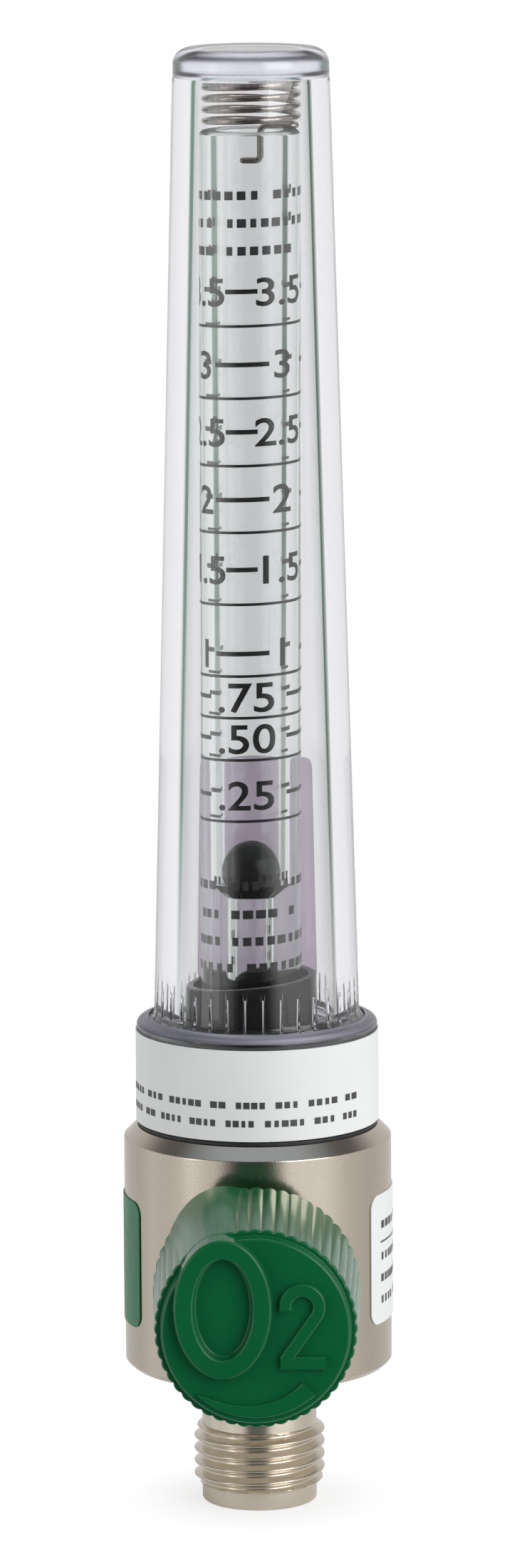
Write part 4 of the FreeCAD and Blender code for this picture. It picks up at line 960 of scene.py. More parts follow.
def knob_skirt():
    """The moulding without its raised front. Rows either keep their own radius or follow the skirt's radius
    with an inset, so the ribs run out into the rounded front edge."""
    angle = ring_angles(KNOB_COLUMNS)
    seat, roof = KNOB_BACK + INSERT_DEPTH, DISC_FRONT - FACE_THICKNESS
    inside = rounded([(0, seat, 0), (INSERT_RADIUS, seat, 0.1), (INSERT_RADIUS, KNOB_BACK, 0.15),
                      (SLEEVE_RADIUS, KNOB_BACK, 0.15), (SLEEVE_RADIUS, roof, 0.4),
                      (SKIRT_INSIDE[1], roof, 0.4), (SKIRT_INSIDE[0], KNOB_BACK, 0.15),
                      (SKIRT_FOOT_RADIUS, KNOB_BACK, 0)])
    bend = np.linspace(0, pi / 2, 5)
    rising, falling = EDGE_ROUND * (1 - np.cos(bend)), EDGE_ROUND * (1 - np.sin(bend))
    depth = np.concatenate([KNOB_BACK + rising, np.linspace(KNOB_BACK + 0.5, KNOB_FRONT - 0.5, SKIRT_ROWS),
                            KNOB_FRONT - falling])
    inset = np.concatenate([falling, np.zeros(SKIRT_ROWS), rising])
    radius = skirt_radius(angle, depth[:, None]) - inset[:, None]
    skirt = round_axis(radius, angle, depth[:, None])
    front = rounded([(DISC_RADIUS + 0.35, KNOB_FRONT, 0), (DISC_RADIUS, KNOB_FRONT, 0.12),
                     (DISC_RADIUS - 0.04, DISC_FRONT, 0.32), (0, DISC_FRONT, 0)])
    grid = np.concatenate([turned(inside, KNOB_COLUMNS), skirt, turned(front, KNOB_COLUMNS)])
    return surface("knob_skirt", to_front(grid), crisp=MOULDED_CRISP)


def knob_lobe():
    """The raised oval ring: an outline of (inset from the oval, depth) carried round the oval's edge."""
    turn = ring_angles(200)
    flare = lobe_half(KNOB_FRONT - 1)[0] - LOBE_HALF[0]
    outline = rounded([(-flare - 0.01, KNOB_FRONT - 1, 0), (-0.01, OVAL_FRONT, 0.32),
                       (LOBE_RIM, OVAL_FRONT, 0.3), (LOBE_RIM + 0.12, DISC_FRONT + 0.02, 0.25),
                       (LOBE_RIM + 0.9, DISC_FRONT + 0.02, 0)], steps=6)
    inset, depth = outline[:, :1], outline[:, 1:]
    x = LOBE_CENTRE[0] + (LOBE_HALF[0] - inset) * np.cos(turn)
    y = LOBE_CENTRE[1] + (LOBE_HALF[1] - inset) * np.sin(turn)
    ring = np.stack(np.broadcast_arrays(x, y, depth), axis=-1)
    middle = np.array(LOBE_CENTRE)

    def closing(row, level):
        """Rings that draw a level row together at the lobe's middle."""
        shrink = np.linspace(1, 0, 5)[:, None, None]
        flat = middle + (row[None, :, :2] - middle) * shrink
        return np.concatenate([flat, np.full(flat.shape[:2] + (1,), level)], axis=-1)

    grid = np.concatenate([closing(ring[0], KNOB_FRONT - 1)[::-1], ring,
                           closing(ring[-1], DISC_FRONT + 0.02)])
    return surface("knob_lobe", to_front(grid), crisp=MOULDED_CRISP)


# %% [markdown]
# ### Raised numeral and arc
# Both are strokes: a cross-section with rounded shoulders, carried along a line on the disc. The line of the
# numeral is a hook, a slanting run and a straight foot. The arc follows the disc's rim and swells from a
# point.

# %% Strokes on the disc
STROKE = 0.66
STROKE_HEIGHT = 0.62
FOOT_GROWTH = 1.02
FOOT_LIFT = 0.012
STROKE_CRISP = 45
STROKE_SECTION = ((-1.12, -0.15, 0), (-1.0, 1.0, 0.34), (1.0, 1.0, 0.34), (1.12, -0.15, 0))
HOOK_CENTRE = (4.85, 2.66)
HOOK_HALF = (1.78, 1.80)
HOOK_SWEEP = (192, -28)
SLANT_END = (3.05, -3.05)
SLANT_SWAY = (0.16, 0.22)
SWAY_STRENGTH = -0.6
FOOT_ENDS = (2.55, 7.28)
FOOT_LEVEL = -3.32
ARC_HEIGHT = 0.5
ARC_SWEEP = (-133, -48)
ARC_REACH = 9.15
ARC_WIDTH = 1.85
ARC_SWELL = 0.55
ARC_POINT = 0.02
ARC_STATIONS = 48


def stroke(line, half_width, height):
    """A raised stroke: at each station the section runs from left to right across the line, up its drafted
    side, round the shoulder and over the top. The last and first stations close on the middle of the
    section."""
    tangent = np.gradient(line, axis=0)
    tangent /= np.linalg.norm(tangent, axis=1)[:, None]
    normal = np.stack([-tangent[:, 1], tangent[:, 0]], axis=-1)
    section = rounded(STROKE_SECTION, guard=0.02)
    side, up = section[:, 0], section[:, 1]
    flat = line[None] + normal[None] * side[:, None, None] * half_width[None, :, None]
    level = DISC_FRONT + np.broadcast_to(up[:, None] * height, flat.shape[:2])
    grid = np.concatenate([flat, level[..., None]], axis=-1)
    return closed_ends(grid)


def numeral_line():
    """Hook of the numeral: half an ellipse and a bit more, then a slant down to the foot, which sways by the
    sine of the share of its way."""
    sweep = np.radians(np.linspace(*HOOK_SWEEP, 26))
    hook = np.stack([HOOK_CENTRE[0] + HOOK_HALF[0] * np.cos(sweep),
                     HOOK_CENTRE[1] + HOOK_HALF[1] * np.sin(sweep)], axis=-1)
    share = np.linspace(0, 1, 12)[1:, None]
    sway = np.array(SLANT_SWAY) * (np.sin(share * pi) * SWAY_STRENGTH)
    slant = hook[-1] + (np.array(SLANT_END) - hook[-1]) * share + sway
    return np.vstack([hook, slant])


def numeral():
    """The hook's stroke and the foot's, which stands a hair higher so that no two faces share a place."""
    hook = numeral_line()
    foot = np.stack([np.linspace(*FOOT_ENDS, 16), np.full(16, FOOT_LEVEL)], axis=-1)
    parts = [stroke(hook, np.full(len(hook), STROKE), STROKE_HEIGHT),
             stroke(foot, np.full(len(foot), STROKE * FOOT_GROWTH), STROKE_HEIGHT + FOOT_LIFT)]
    return surface("knob_numeral", [to_front(part) for part in parts], wrap_columns=False, wrap_rows=True,
                   crisp=STROKE_CRISP)


def swelling_arc():
    """A stroke whose outer edge keeps its reach, and whose width grows as a power of the share of its way."""
    sweep = np.radians(np.linspace(*ARC_SWEEP, ARC_STATIONS))
    width = ARC_WIDTH * np.linspace(0, 1, ARC_STATIONS) ** ARC_SWELL
    reach = ARC_REACH - width / 2
    line = np.stack([reach * np.cos(sweep), reach * np.sin(sweep)], axis=-1)
    return surface("knob_arc", to_front(stroke(line, width / 2 + ARC_POINT, ARC_HEIGHT)), wrap_columns=False,
                   wrap_rows=True, crisp=STROKE_CRISP)


dress(knob_skirt(), green, "knob", "green_plastic", "knob")
for piece in (knob_lobe(), numeral(), swelling_arc()):
    dress(piece, green, "knob", "green_plastic")

# %% [markdown]
# ## The clear cover
# One outline from pole to pole: over the crown, down the tapered outside, round the flange, up the threaded
# recess and the tapered bore, and across the hollow's roof. Small grip notches are cut where the wall meets
# the flange. Extra columns stand on each notch's edges, so a notch stays sharp while the wall beside it stays
# round.

# %% Cover
FLANGE_TOP = SHROUD_FOOT + 11.2
FLANGE_ROUND = 0.7
FILLET = 1.5
WALL_FOOT_RADIUS = 11.12
WALL_TOP_RADIUS = 8.39
CROWN_LIP = CROWN_TOP - 3.5
CROWN_RADIUS = 8.32
CROWN_ROUND = 1.8
RECESS_RADIUS = 10.1
RECESS_TOP = SHROUD_FOOT + 9.0
HOLLOW_FOOT_RADIUS = 8.49
HOLLOW_TOP = CROWN_TOP - 2.5
HOLLOW_TOP_RADIUS = 5.95
WALL_SLOPE = (WALL_FOOT_RADIUS - WALL_TOP_RADIUS) / (CROWN_LIP - FLANGE_TOP)
NOTCH_COUNT = 36
NOTCH_TURN = 4
NOTCH_HALF = 0.93
NOTCH_FOOT = FLANGE_TOP + 0.3
NOTCH_TOP = FLANGE_TOP + 4.6
NOTCH_FLOOR = 10.78
BESIDE_NOTCH = (1.02, 2.5, 4, 5, 6, 7.5, 8.98)


def wall_radius(height):
    """The cone of the wall's outside."""
    return WALL_FOOT_RADIUS - (height - FLANGE_TOP) * WALL_SLOPE


def notch_radius(height):
    """The notch's floor runs from its foot out to the wall."""
    share = (height - NOTCH_FOOT) / (NOTCH_TOP - NOTCH_FOOT)
    return NOTCH_FLOOR + (wall_radius(NOTCH_TOP) - NOTCH_FLOOR) * share


def cover_outline():
    """The whole outline, and which of its rows lie on the wall and its foot, where notches may be cut."""
    outside = rounded([(0, CROWN_TOP, 0), (CROWN_RADIUS, CROWN_TOP, CROWN_ROUND),
                       (CROWN_RADIUS, CROWN_LIP + 0.45, 0.2), (WALL_TOP_RADIUS, CROWN_LIP, 0.2),
                       (wall_radius(CROWN_LIP - 1), CROWN_LIP - 1, 0)], steps=10)
    wall_height = np.concatenate([np.linspace(CROWN_LIP - 4, NOTCH_TOP + 0.03, 24),
                                  np.linspace(NOTCH_TOP, FLANGE_TOP + 2.2, 8)])
    wall = np.stack([wall_radius(wall_height), wall_height], axis=-1)
    fillet = rounded([(wall_radius(FLANGE_TOP + 2), FLANGE_TOP + 2, 0),
                      (WALL_FOOT_RADIUS, FLANGE_TOP, FILLET), (FLANGE_RADIUS - 0.8, FLANGE_TOP, 0)],
                     steps=14)[-2::-1]
    level = np.union1d(fillet[:, 1], [NOTCH_FOOT, NOTCH_FOOT - 0.03])[::-1]
    foot = np.stack([np.interp(level, fillet[:, 1], fillet[:, 0]), level], axis=-1)
    rest = rounded([(foot[-1, 0] + 0.02, FLANGE_TOP, 0), (FLANGE_RADIUS, FLANGE_TOP, FLANGE_ROUND),
                    (FLANGE_RADIUS, SHROUD_FOOT, 0.1), (RECESS_RADIUS, SHROUD_FOOT, 0.15),
                    (RECESS_RADIUS, RECESS_TOP, 0.2), (HOLLOW_FOOT_RADIUS, RECESS_TOP, 0.15),
                    (HOLLOW_TOP_RADIUS, HOLLOW_TOP, 1.2), (0, HOLLOW_TOP, 0)], steps=8)
    on_wall = np.repeat([False, True, False], [len(outside), len(wall) + len(foot), len(rest)])
    return np.vstack([outside, wall, foot, rest]), on_wall


def cover():
    """The outline turned through columns that crowd at the notches. Inside a notch the wall's radius is held
    to the notch's floor."""
    outline, on_wall = cover_outline()
    offsets = np.array([-NOTCH_HALF, 0, NOTCH_HALF, *BESIDE_NOTCH])
    first = np.arange(NOTCH_COUNT)[:, None] * TURN / NOTCH_COUNT
    angle = (first + np.radians(offsets) + radians(NOTCH_TURN)).ravel()
    grid = turned(outline, angle=angle)
    radius, height = np.hypot(grid[..., 0], grid[..., 1]), grid[..., 2]
    in_notch = np.tile(np.abs(offsets) <= NOTCH_HALF, NOTCH_COUNT)
    cut = on_wall[:, None] & in_notch & (height >= NOTCH_FOOT) & (height < NOTCH_TOP)
    share = np.where(cut, np.minimum(1, notch_radius(height) / np.maximum(radius, 1e-6)), 1)
    return surface("clear_cover", grid * np.stack([share, share, share * 0 + 1], axis=-1), crisp=30)


dress(cover(), clear_plastic, "meter", "clear_cover", "shroud")

# %% [markdown]
# ### Matt faces and painted light on the cover
# The flange's top comes from a rougher part of the mould and is matt. The skin over it has a pale lavender
# colour with light rings, which is painted light: the glow and the light streaks seen through the clear
# flange.
# Pale, rough strips on the notches' floors are painted highlights, the bright line in each notch. A second
# material on some faces would be simplest, but a thin skin of its own keeps each piece to one material.

# %% Matt skins
SKIN_FROM = WALL_FOOT_RADIUS + 0.58
SKIN_LEVELS = (0.012, 0.032)


def flange_face():
    """A thin skin that follows the fillet, the flat and the rounded rim. Each side of it is the line moved
    along its normal."""
    reach = np.linspace(SKIN_FROM, FLANGE_RADIUS - FLANGE_ROUND - 0.05, 14)
    lift = np.maximum(0, WALL_FOOT_RADIUS + FILLET - 0.04 - reach)
    level = FLANGE_TOP + FILLET - np.sqrt(FILLET**2 - lift**2)
    turn = np.radians(np.linspace(90, 15, 9))
    rim = np.stack([FLANGE_RADIUS - FLANGE_ROUND + FLANGE_ROUND * np.cos(turn),
                    FLANGE_TOP - FLANGE_ROUND + FLANGE_ROUND * np.sin(turn)], axis=-1)
    line = np.vstack([np.stack([reach, level], axis=-1), rim])
    along = np.gradient(line, axis=0)
    normal = np.stack([-along[:, 1], along[:, 0]], axis=-1) / np.linalg.norm(along, axis=1)[:, None]
    under, over = (line + normal * level for level in SKIN_LEVELS)
    return surface("flange_skin", turned(np.vstack([under, over[::-1]]), 240), wrap_rows=True)


def notch_floor(number):
    """A pale film on one notch's floor, which paints the notch's bright highlight line."""
    return film("floor", lambda height: notch_radius(height) + 0.01, NOTCH_FOOT + 0.05, NOTCH_TOP - 0.7,
                middle=NOTCH_TURN + number * 360 / NOTCH_COUNT, width=0.8, thickness=0.02, columns=4)


# The flange's skin carries painted light.
dress(flange_face(), skin, "meter", "clear_cover")
# The notches' pale strips are painted highlights.
dress(merged("notch_floors", [notch_floor(number) for number in range(NOTCH_COUNT)]), notch_highlight_strips, "meter",
      "clear_cover")

# %% [markdown]
# ## Tube, collar, ball and seals
# The metering tube has a taper bore that opens upwards: the ball rises until the gap round it lets the flow
# past. Its foot sits in a black collar with a slanted rim. The ball is a grid of latitude and longitude.

# %% Tube and collar sizes
LEAN_FOOT = -0.60
LEAN_TOP = -0.18
TUBE_BORE_FOOT = 3.25
TUBE_BORE_TOP = 3.6
TUBE_BEVEL = 0.3
TUBE_PASSAGE = 1.8
SEAT_HEIGHT = BALL_HEIGHT - 1.34
SEAT_DEPTH = 1.45
COLLAR_FOOT = low("tube_collar")
COLLAR_RADIUS = high("tube_collar", 0)
COLLAR_HOLE = 2.0
COLLAR_HEIGHT = 8.2
COLLAR_TAPER = 0.14
CUP_RADIUS = 6.2
CUP_FLOOR = 4.1
SOCKET_RADIUS = 5.45
SOCKET_FLOOR = 1.3
COLLAR_SLANT = tan(radians(5.4))
COVER_RING = (9.15, 0.74)
NOSE_RING = (3.47, 0.44)
print("tube from", round(TUBE_FOOT, 2), "to", round(TUBE_TOP, 2), "seat at", round(SEAT_HEIGHT, 2))

# %% Tube, collar, ball and rings


def leaning(grid):
    """The tube's loose seat lets its foot stand a little to one side: a shift in X that fades towards the
    top."""
    shift = np.interp(grid[..., 2], [TUBE_FOOT, TUBE_TOP], [LEAN_FOOT, LEAN_TOP])
    return grid + np.stack([shift, 0 * shift, 0 * shift], axis=-1)


def metering_tube():
    """A closed outline round the tube's wall, turned: outside, bevel, taper bore, seat and passage."""
    outline = rounded([(TUBE_PASSAGE, TUBE_FOOT, 0.1), (TUBE_RADIUS, TUBE_FOOT, 0.15),
                       (TUBE_RADIUS, TUBE_TOP - TUBE_BEVEL, 0.05), (TUBE_RADIUS - TUBE_BEVEL, TUBE_TOP, 0.05),
                       (TUBE_BORE_TOP, TUBE_TOP, 0.08), (TUBE_BORE_FOOT, SEAT_HEIGHT, 0.02),
                       (TUBE_PASSAGE, SEAT_HEIGHT - SEAT_DEPTH, 0.2)], closed=True)
    return surface("metering_tube", leaning(turned(outline, 256)), wrap_rows=True, crisp=30)


def collar():
    """A turned cup. Above the cup's floor its height grows with x times the tangent of the slant."""
    rim, cup, socket = (COLLAR_FOOT + rise for rise in (COLLAR_HEIGHT, CUP_FLOOR, SOCKET_FLOOR))
    outline = rounded([(COLLAR_HOLE, COLLAR_FOOT, 0.05), (COLLAR_RADIUS, COLLAR_FOOT, 0.15),
                       (COLLAR_RADIUS - COLLAR_TAPER, rim, 0.14), (CUP_RADIUS, rim, 0.1),
                       (CUP_RADIUS, cup, 0.1), (SOCKET_RADIUS, cup, 0.05), (SOCKET_RADIUS, socket, 0.1),
                       (COLLAR_HOLE, socket, 0.05)], closed=True)
    grid = turned(outline, 128)
    share = np.clip((grid[..., 2] - COLLAR_FOOT - CUP_FLOOR) / CUP_FLOOR, 0, 1)
    grid[..., 2] += grid[..., 0] * COLLAR_SLANT * share
    grid[..., 0] += LEAN_FOOT
    return surface("black_collar", grid, wrap_rows=True)


def ball():
    """A grid of latitude and longitude: half a circle, turned."""
    tilt = np.linspace(0, pi, 65)
    outline = np.stack([BALL_RADIUS * np.sin(tilt), BALL_HEIGHT + BALL_RADIUS * np.cos(tilt)], axis=-1)
    grid = turned(outline, 96)
    grid[..., 0] += leaning(np.array([[0, 0, BALL_HEIGHT]]))[0, 0]
    return surface("float_ball_polished", grid)


def ring(name, node, radius, thickness, axis=2):
    """A torus in the middle of a solid's box: a circle of the cord's radius carried round the ring."""
    turn = ring_angles(20)
    centre = (low(node, axis) + high(node, axis)) / 2
    outline = np.stack([radius + thickness * np.cos(turn), centre + thickness * np.sin(turn)], axis=-1)
    grid = turned(outline, 96)
    return surface(name, grid if axis == 2 else to_rear(grid), wrap_rows=True)


def gasket():
    """A flat ring between the drum's shoulder and the cover."""
    outline = rounded([(RECESS_RADIUS, BODY_TOP, 0.05), (FLANGE_RADIUS, BODY_TOP, 0.08),
                       (FLANGE_RADIUS, SHROUD_FOOT, 0.08), (RECESS_RADIUS, SHROUD_FOOT, 0.05)], closed=True)
    return surface("cover_gasket", turned(outline, 160), wrap_rows=True)


dress(metering_tube(), tube_glass, "meter", "clear_tube", "flow_tube")
dress(collar(), black_plastic, "meter", "black_collar", "tube_collar")
dress(ball(), ball_black, "float", "black_ball", "float_ball")
dress(gasket(), rubber, "meter", "black_rubber", "shroud_gasket")
for name, node, size, axis in (("cover_ring", "shroud_ring", COVER_RING, 2),
                               ("nose_seal", "nose_ring", NOSE_RING, 1)):
    dress(ring(name, node, *size, axis), rubber, "meter", "black_rubber", node)

# %% [markdown]
# ## The ball stop
# One spring wire: a flat coil that rests on the tube's top, a straight tail into the middle and a hook that
# reaches down into the bore, where it stops the ball. The centre line is a list of runs, and the wire's
# section is carried along it. At each station the section stands square to the line's direction, and its
# first axis is kept from turning by removing the part that lies along that direction.

# %% Ball stop wire
WIRE_RADIUS = 0.34
COIL_RADIUS = 5.0
COIL_PITCH = 1.18
COIL_TURNS = 4.25
COIL_END = 0.16
COIL_STATIONS = 340
COIL_FOOT = TUBE_TOP + 0.4
RUN_GAP = 0.05
TAIL_PLACE = 0.95
TAIL_DROP = 3.1
TAIL_BEND = 0.8
FOOT_BEND = 0.55
FOOT_LENGTH = 1.85


def wire_line():
    """Centre line of the wire and a direction that the section's first axis leans on: up for the coil,
    sideways for the hook, blended along the straight tail, which is square to both. The coil is a helix, each
    bend a quarter of a circle, and the runs between them are straight."""
    turn = np.linspace(COIL_TURNS * TURN, COIL_END, COIL_STATIONS)[:, None]
    coil = np.hstack([COIL_RADIUS * np.cos(turn), COIL_RADIUS * np.sin(turn),
                      COIL_FOOT + COIL_PITCH * turn / TURN])
    bend = np.linspace(0, pi / 2, 10)[:, None]
    flat = np.full((10, 1), COIL_FOOT)
    corner = COIL_RADIUS - RUN_GAP - TAIL_BEND
    foot = COIL_FOOT - TAIL_DROP - FOOT_BEND
    inward = np.hstack([corner + TAIL_BEND * np.cos(bend), TAIL_BEND - TAIL_BEND * np.sin(bend), flat])[1:]
    tail = np.linspace((corner - RUN_GAP, 0, COIL_FOOT), (TAIL_PLACE + TAIL_BEND + RUN_GAP, 0, COIL_FOOT), 14)
    down = np.hstack([TAIL_PLACE + TAIL_BEND * (1 - np.sin(bend)), bend * 0,
                      flat - TAIL_BEND * (1 - np.cos(bend))])
    drop = np.linspace((TAIL_PLACE, 0, COIL_FOOT - TAIL_BEND), (TAIL_PLACE, 0, foot + FOOT_BEND), 8)[1:]
    heel = np.hstack([TAIL_PLACE - FOOT_BEND * (1 - np.cos(bend)), bend * 0,
                      foot + FOOT_BEND * (1 - np.sin(bend))])[1:]
    sole = np.linspace((TAIL_PLACE - FOOT_BEND, 0, foot), (TAIL_PLACE - FOOT_LENGTH, 0, foot), 8)[1:]
    line = np.vstack([coil, inward, tail, down, drop, heel, sole])
    lean = np.clip((np.arange(len(line)) - len(coil) - len(inward)) / (len(tail) - 1), 0, 1)[:, None]
    return line, np.array([0.0, 0.0, 1.0]) * (1 - lean) + np.array([0.0, 1.0, 0.0]) * lean


def wire(line, lean, radius):
    """Round section carried along a line, with half a ball at each end. The first axis is the lean without
    its part along the line, and the second is square to both."""
    along = np.gradient(line, axis=0)
    along /= np.linalg.norm(along, axis=1)[:, None]
    cap = np.linspace(pi / 2, 0, 6)[:-1, None]
    caps = len(cap)
    line = np.vstack([line[0] - along[0] * radius * np.sin(cap), line,
                      line[-1] + along[-1] * radius * np.sin(cap[::-1])])
    size = np.concatenate([np.cos(cap[:, 0]), np.ones(len(along)), np.cos(cap[::-1, 0])]) * radius
    along, lean = (np.vstack([np.repeat(each[:1], caps, axis=0), each, np.repeat(each[-1:], caps, axis=0)])
                   for each in (along, lean))
    first = lean - along * np.sum(lean * along, axis=1)[:, None]
    first /= np.linalg.norm(first, axis=1)[:, None]
    second = np.cross(along, first)
    turn = ring_angles(18)[None, :, None]
    section = first[:, None] * np.cos(turn) + second[:, None] * np.sin(turn)
    return line[:, None] + size[:, None, None] * section


dress(surface("stop_spring", wire(*wire_line(), WIRE_RADIUS)), wire_steel, "meter", "spring_wire",
      "ball_stop_spring")

# %% [markdown]
# ## Labels
# Films bent round the body, the flange and the cover, just clear of the surface. A plain curved sheet would
# do, but a film with two sides and closed edges also works as a solid, and its corners can be rounded.

# %% Labels
FILM_GAP = 0.02
FILM_THICKNESS = 0.12


def beside(radius):
    """Inner radius of a film on a cylinder, at any height."""
    return lambda height: radius + FILM_GAP + 0 * height


def on_wall(height):
    """Inner radius of a film on the cover's cone."""
    return wall_radius(height) + FILM_GAP


for name, node, reach, middle, width, corner, columns, finish, slot in (
        ("band_film", "band_label", beside(FLANGE_RADIUS), -90, 352, 0.8, 240, white_film, "white_label"),
        ("left_film", "left_label", beside(BODY_RADIUS), 177, 64, 1.5, 60, green_film, "green_label"),
        ("right_film", "right_label", beside(BODY_RADIUS), -1, 64, 1.5, 60, white_film, "white_label"),
        ("rear_film", "rear_label", on_wall, 90, 102, 1.2, 90, shaded_rear_film, "tinted_label")):
    label = film(name, reach, low(node), high(node), middle, width, corner, FILM_THICKNESS, columns)
    dress(label, finish, "meter", slot, node)

# %% [markdown]
# ### Print
# Words become rows of small plain blocks. A patch is a thin piece of ink on a cylinder. The lengths of the
# words and the widths of the blocks are drawn from a seeded list.

# %% Blocks for words
PRINT_THICKNESS = 0.02
PRINT_RADIUS = FILM_GAP + FILM_THICKNESS + 0.004
BLOCK_PITCH = 0.8
BLOCK_HEIGHT = 0.62
BLOCK_WIDTHS = (0.5, 0.68, 0.8)
WORD_LENGTHS = (0.6, 1.6)


def patch(radius, thickness, angle, width, level, tall, tilt=0.0):
    """A thin rectangle on a cylinder. angle and width are degrees from the front, level is its middle height,
    and it climbs to the right by the tilt."""
    share = np.linspace(-0.5, 0.5, max(3, int(width / 3)))
    turn = radians(angle - 90) + radians(width) * share
    climb = radius * radians(1) * (angle + width * share) * tilt
    level = np.stack([level + climb - tall / 2, level + climb + tall / 2])
    corner = np.array([[radius, radius, radius + thickness, radius + thickness]]).T
    grid = np.stack([corner * np.cos(turn), corner * np.sin(turn), level[[0, 1, 1, 0]]], axis=-1)
    return closed_ends(grid)


def marks(draw, radius, thickness, first, last, level, tall, tilt=0.0):
    """One word between two angles: blocks of one height and uneven width."""
    pitch = tall * BLOCK_PITCH / radius / radians(1)
    count = max(1, round((last - first) / pitch))
    width = (last - first) / count
    return [patch(radius, thickness, first + width * (index + 0.5), width * draw.choice(BLOCK_WIDTHS), level,
                  tall * BLOCK_HEIGHT, tilt) for index in range(count)]


def print_rows(name, radius, rows, first, last, tall, words, seed):
    """Rows of words. The words share the row, with a gap as wide as a block between them."""
    draw = np.random.default_rng(seed)
    gap = tall * BLOCK_PITCH / radius / radians(1)
    parts = []
    for level in rows:
        lengths = draw.uniform(*WORD_LENGTHS, words)
        lengths *= ((last - first) - gap * (words - 1)) / lengths.sum()
        start = first + np.concatenate([[0], np.cumsum(lengths + gap)[:-1]])
        for begin, width in zip(start, lengths):
            parts += marks(draw, radius, PRINT_THICKNESS, begin, begin + width, level, tall)
    return surface(name, parts, wrap_columns=False, wrap_rows=True)


# %% Print on two labels
band_foot, right_foot = low("band_label"), low("right_label")
on_band, on_right = FLANGE_RADIUS + PRINT_RADIUS, BODY_RADIUS + PRINT_RADIUS
band_print = print_rows("band_print", on_band, [band_foot + rise for rise in (3.95, 1.95)], first=-86,
                        last=55, tall=1.15, words=8, seed=4)
right_print = print_rows("right_print", on_right, [right_foot + rise for rise in (10.9, 7.4, 5.0, 2.6)],
                         first=65, last=110, tall=1.35, words=2, seed=7)
rule = patch(on_right, PRINT_THICKNESS, angle=88, width=46, level=right_foot + 9.0, tall=0.2)
right_rule = surface("right_rule", rule, wrap_columns=False, wrap_rows=True)
for piece in (band_print, right_print, right_rule):
    dress(piece, pale_ink, "meter", "white_label")

# %% [markdown]
# ### The scale on the tube
# Numbers and dashes stand on the glass in ink. The numbers begin as flat outlines of the default font, are
# made into a mesh, cut into narrow upright strips and bent round the tube: the angle is the distance across
# divided by the tube's radius.

# %% Scale sizes
INK_RADIUS = TUBE_RADIUS + 0.008
INK_THICKNESS = 0.02
SCALE_TILT = tan(radians(1.8))
SCALE_FOOT = 52.0
NUMBERS = (("3.5", 133.0), ("3", 125.23), ("2.5", 118.06), ("2", 110.81), ("1.5", 103.31), ("1", 94.26))
SMALL_NUMBERS = ((".75", 89.59), (".50", 85.12), (".25", 78.98))
NUMBER_SIZE, SMALL_SIZE = 3.05, 3.2
LETTER_WIDTH = 1.16
LETTER_WEIGHT = 0.012
STRIPS = np.arange(-4, 4, 0.2)
WHOLE_PLACES = (-53.5, 37)
HALF_PLACES = (-55.5, 36)
SMALL_PLACE = -4
GRADUATIONS = (129.33, 121.64, 114.44, 107.3, 99.57, 91.84, 87.34, 82.77, 76.13)
SCALE_MIDDLE = -8.4
FINE_WIDTH = 200
MIDDLE_WIDTHS = (34, 59)
SIDE_DASHES = ((-100, 30), (85, 30))
SMALL_DASHES = ((-75, 57), (71, 57))
FINE_LINE, NUMBER_LINE, SMALL_LINE = 0.3, 0.5, 0.45
WORD_SEED = 5
WORD_HEIGHT = 1.5
WORD_ROWS = ((143.17, ((-95, 12), (24, 95))), (140.24, ((-95, -38), (-26, 95))),
             (137.3, ((-95, -38), (-27, 50))), (69.08, ((-95, -38), (-22, 12), (24, 95))),
             (65.97, ((-68, -34), (-23, 32), (42, 60))), (63.02, ((-95, -32), (-23, 95))),
             (60.14, ((-95, -16), (-5, 95))))
print("graduations", len(GRADUATIONS), "rows of words", len(WORD_ROWS))

# %% Ink on the tube


def on_tube(height):
    """Heights are given from the object's foot, and follow the tube if it moves."""
    return height - SCALE_FOOT + TUBE_FOOT


def tube_print(name, patches):
    """Patches on the tube as one piece, leaning with it."""
    return surface(name, [leaning(each) for each in patches], wrap_columns=False, wrap_rows=True)


def dash(angle, width, height, thickness):
    """A dash on the tube, which climbs to the right with the scale's tilt."""
    return patch(INK_RADIUS, INK_THICKNESS, angle, width, on_tube(height), thickness, SCALE_TILT)


def number(text, angle, height, size):
    """A number centred at an angle from the front: flat letters, cut into strips, bent round the tube. A
    point's angle grows by its distance across divided by the tube's radius, and its height by the scale's
    tilt."""
    curve = bpy.data.curves.new("number", "FONT")
    curve.body = text
    curve.size = size
    curve.offset = LETTER_WEIGHT * size
    curve.align_x = "CENTER"
    curve.extrude = INK_THICKNESS / 2
    curve.resolution_u = 6
    flat = bpy.data.objects.new("number", curve)
    mesh = bpy.data.meshes.new_from_object(flat)
    bpy.data.objects.remove(flat)
    work = bmesh.new()
    work.from_mesh(mesh)
    for place in STRIPS:
        whole = list(work.verts) + list(work.edges) + list(work.faces)
        bmesh.ops.bisect_plane(work, geom=whole, plane_co=(place, 0, 0), plane_no=(1, 0, 0), dist=1e-5)
    work.to_mesh(mesh)
    work.free()
    points = np.empty(len(mesh.vertices) * 3)
    mesh.vertices.foreach_get("co", points)
    across, up, out = points.reshape(-1, 3).T
    grow = size / (up.max() - up.min())
    across, up = across * grow * LETTER_WIDTH, up * grow
    turn = radians(angle - 90) + across / TUBE_RADIUS
    radius = INK_RADIUS + INK_THICKNESS / 2 + out
    climb = (TUBE_RADIUS * radians(angle) + across) * SCALE_TILT
    bent = round_axis(radius, turn, on_tube(height) + climb + up - size / 2)
    mesh.vertices.foreach_set("co", (leaning(bent) * MM).ravel())
    return finished("number", mesh)


# %% The scale's pieces


def scale_numbers():
    """The whole and half numbers stand twice, left and right of the middle, and the small ones once."""
    parts = [number(text, angle, height, NUMBER_SIZE) for text, height in NUMBERS
             for angle in (HALF_PLACES if "." in text else WHOLE_PLACES)]
    parts += [number(text, SMALL_PLACE, height, SMALL_SIZE) for text, height in SMALL_NUMBERS]
    return merged("scale_numbers", parts)


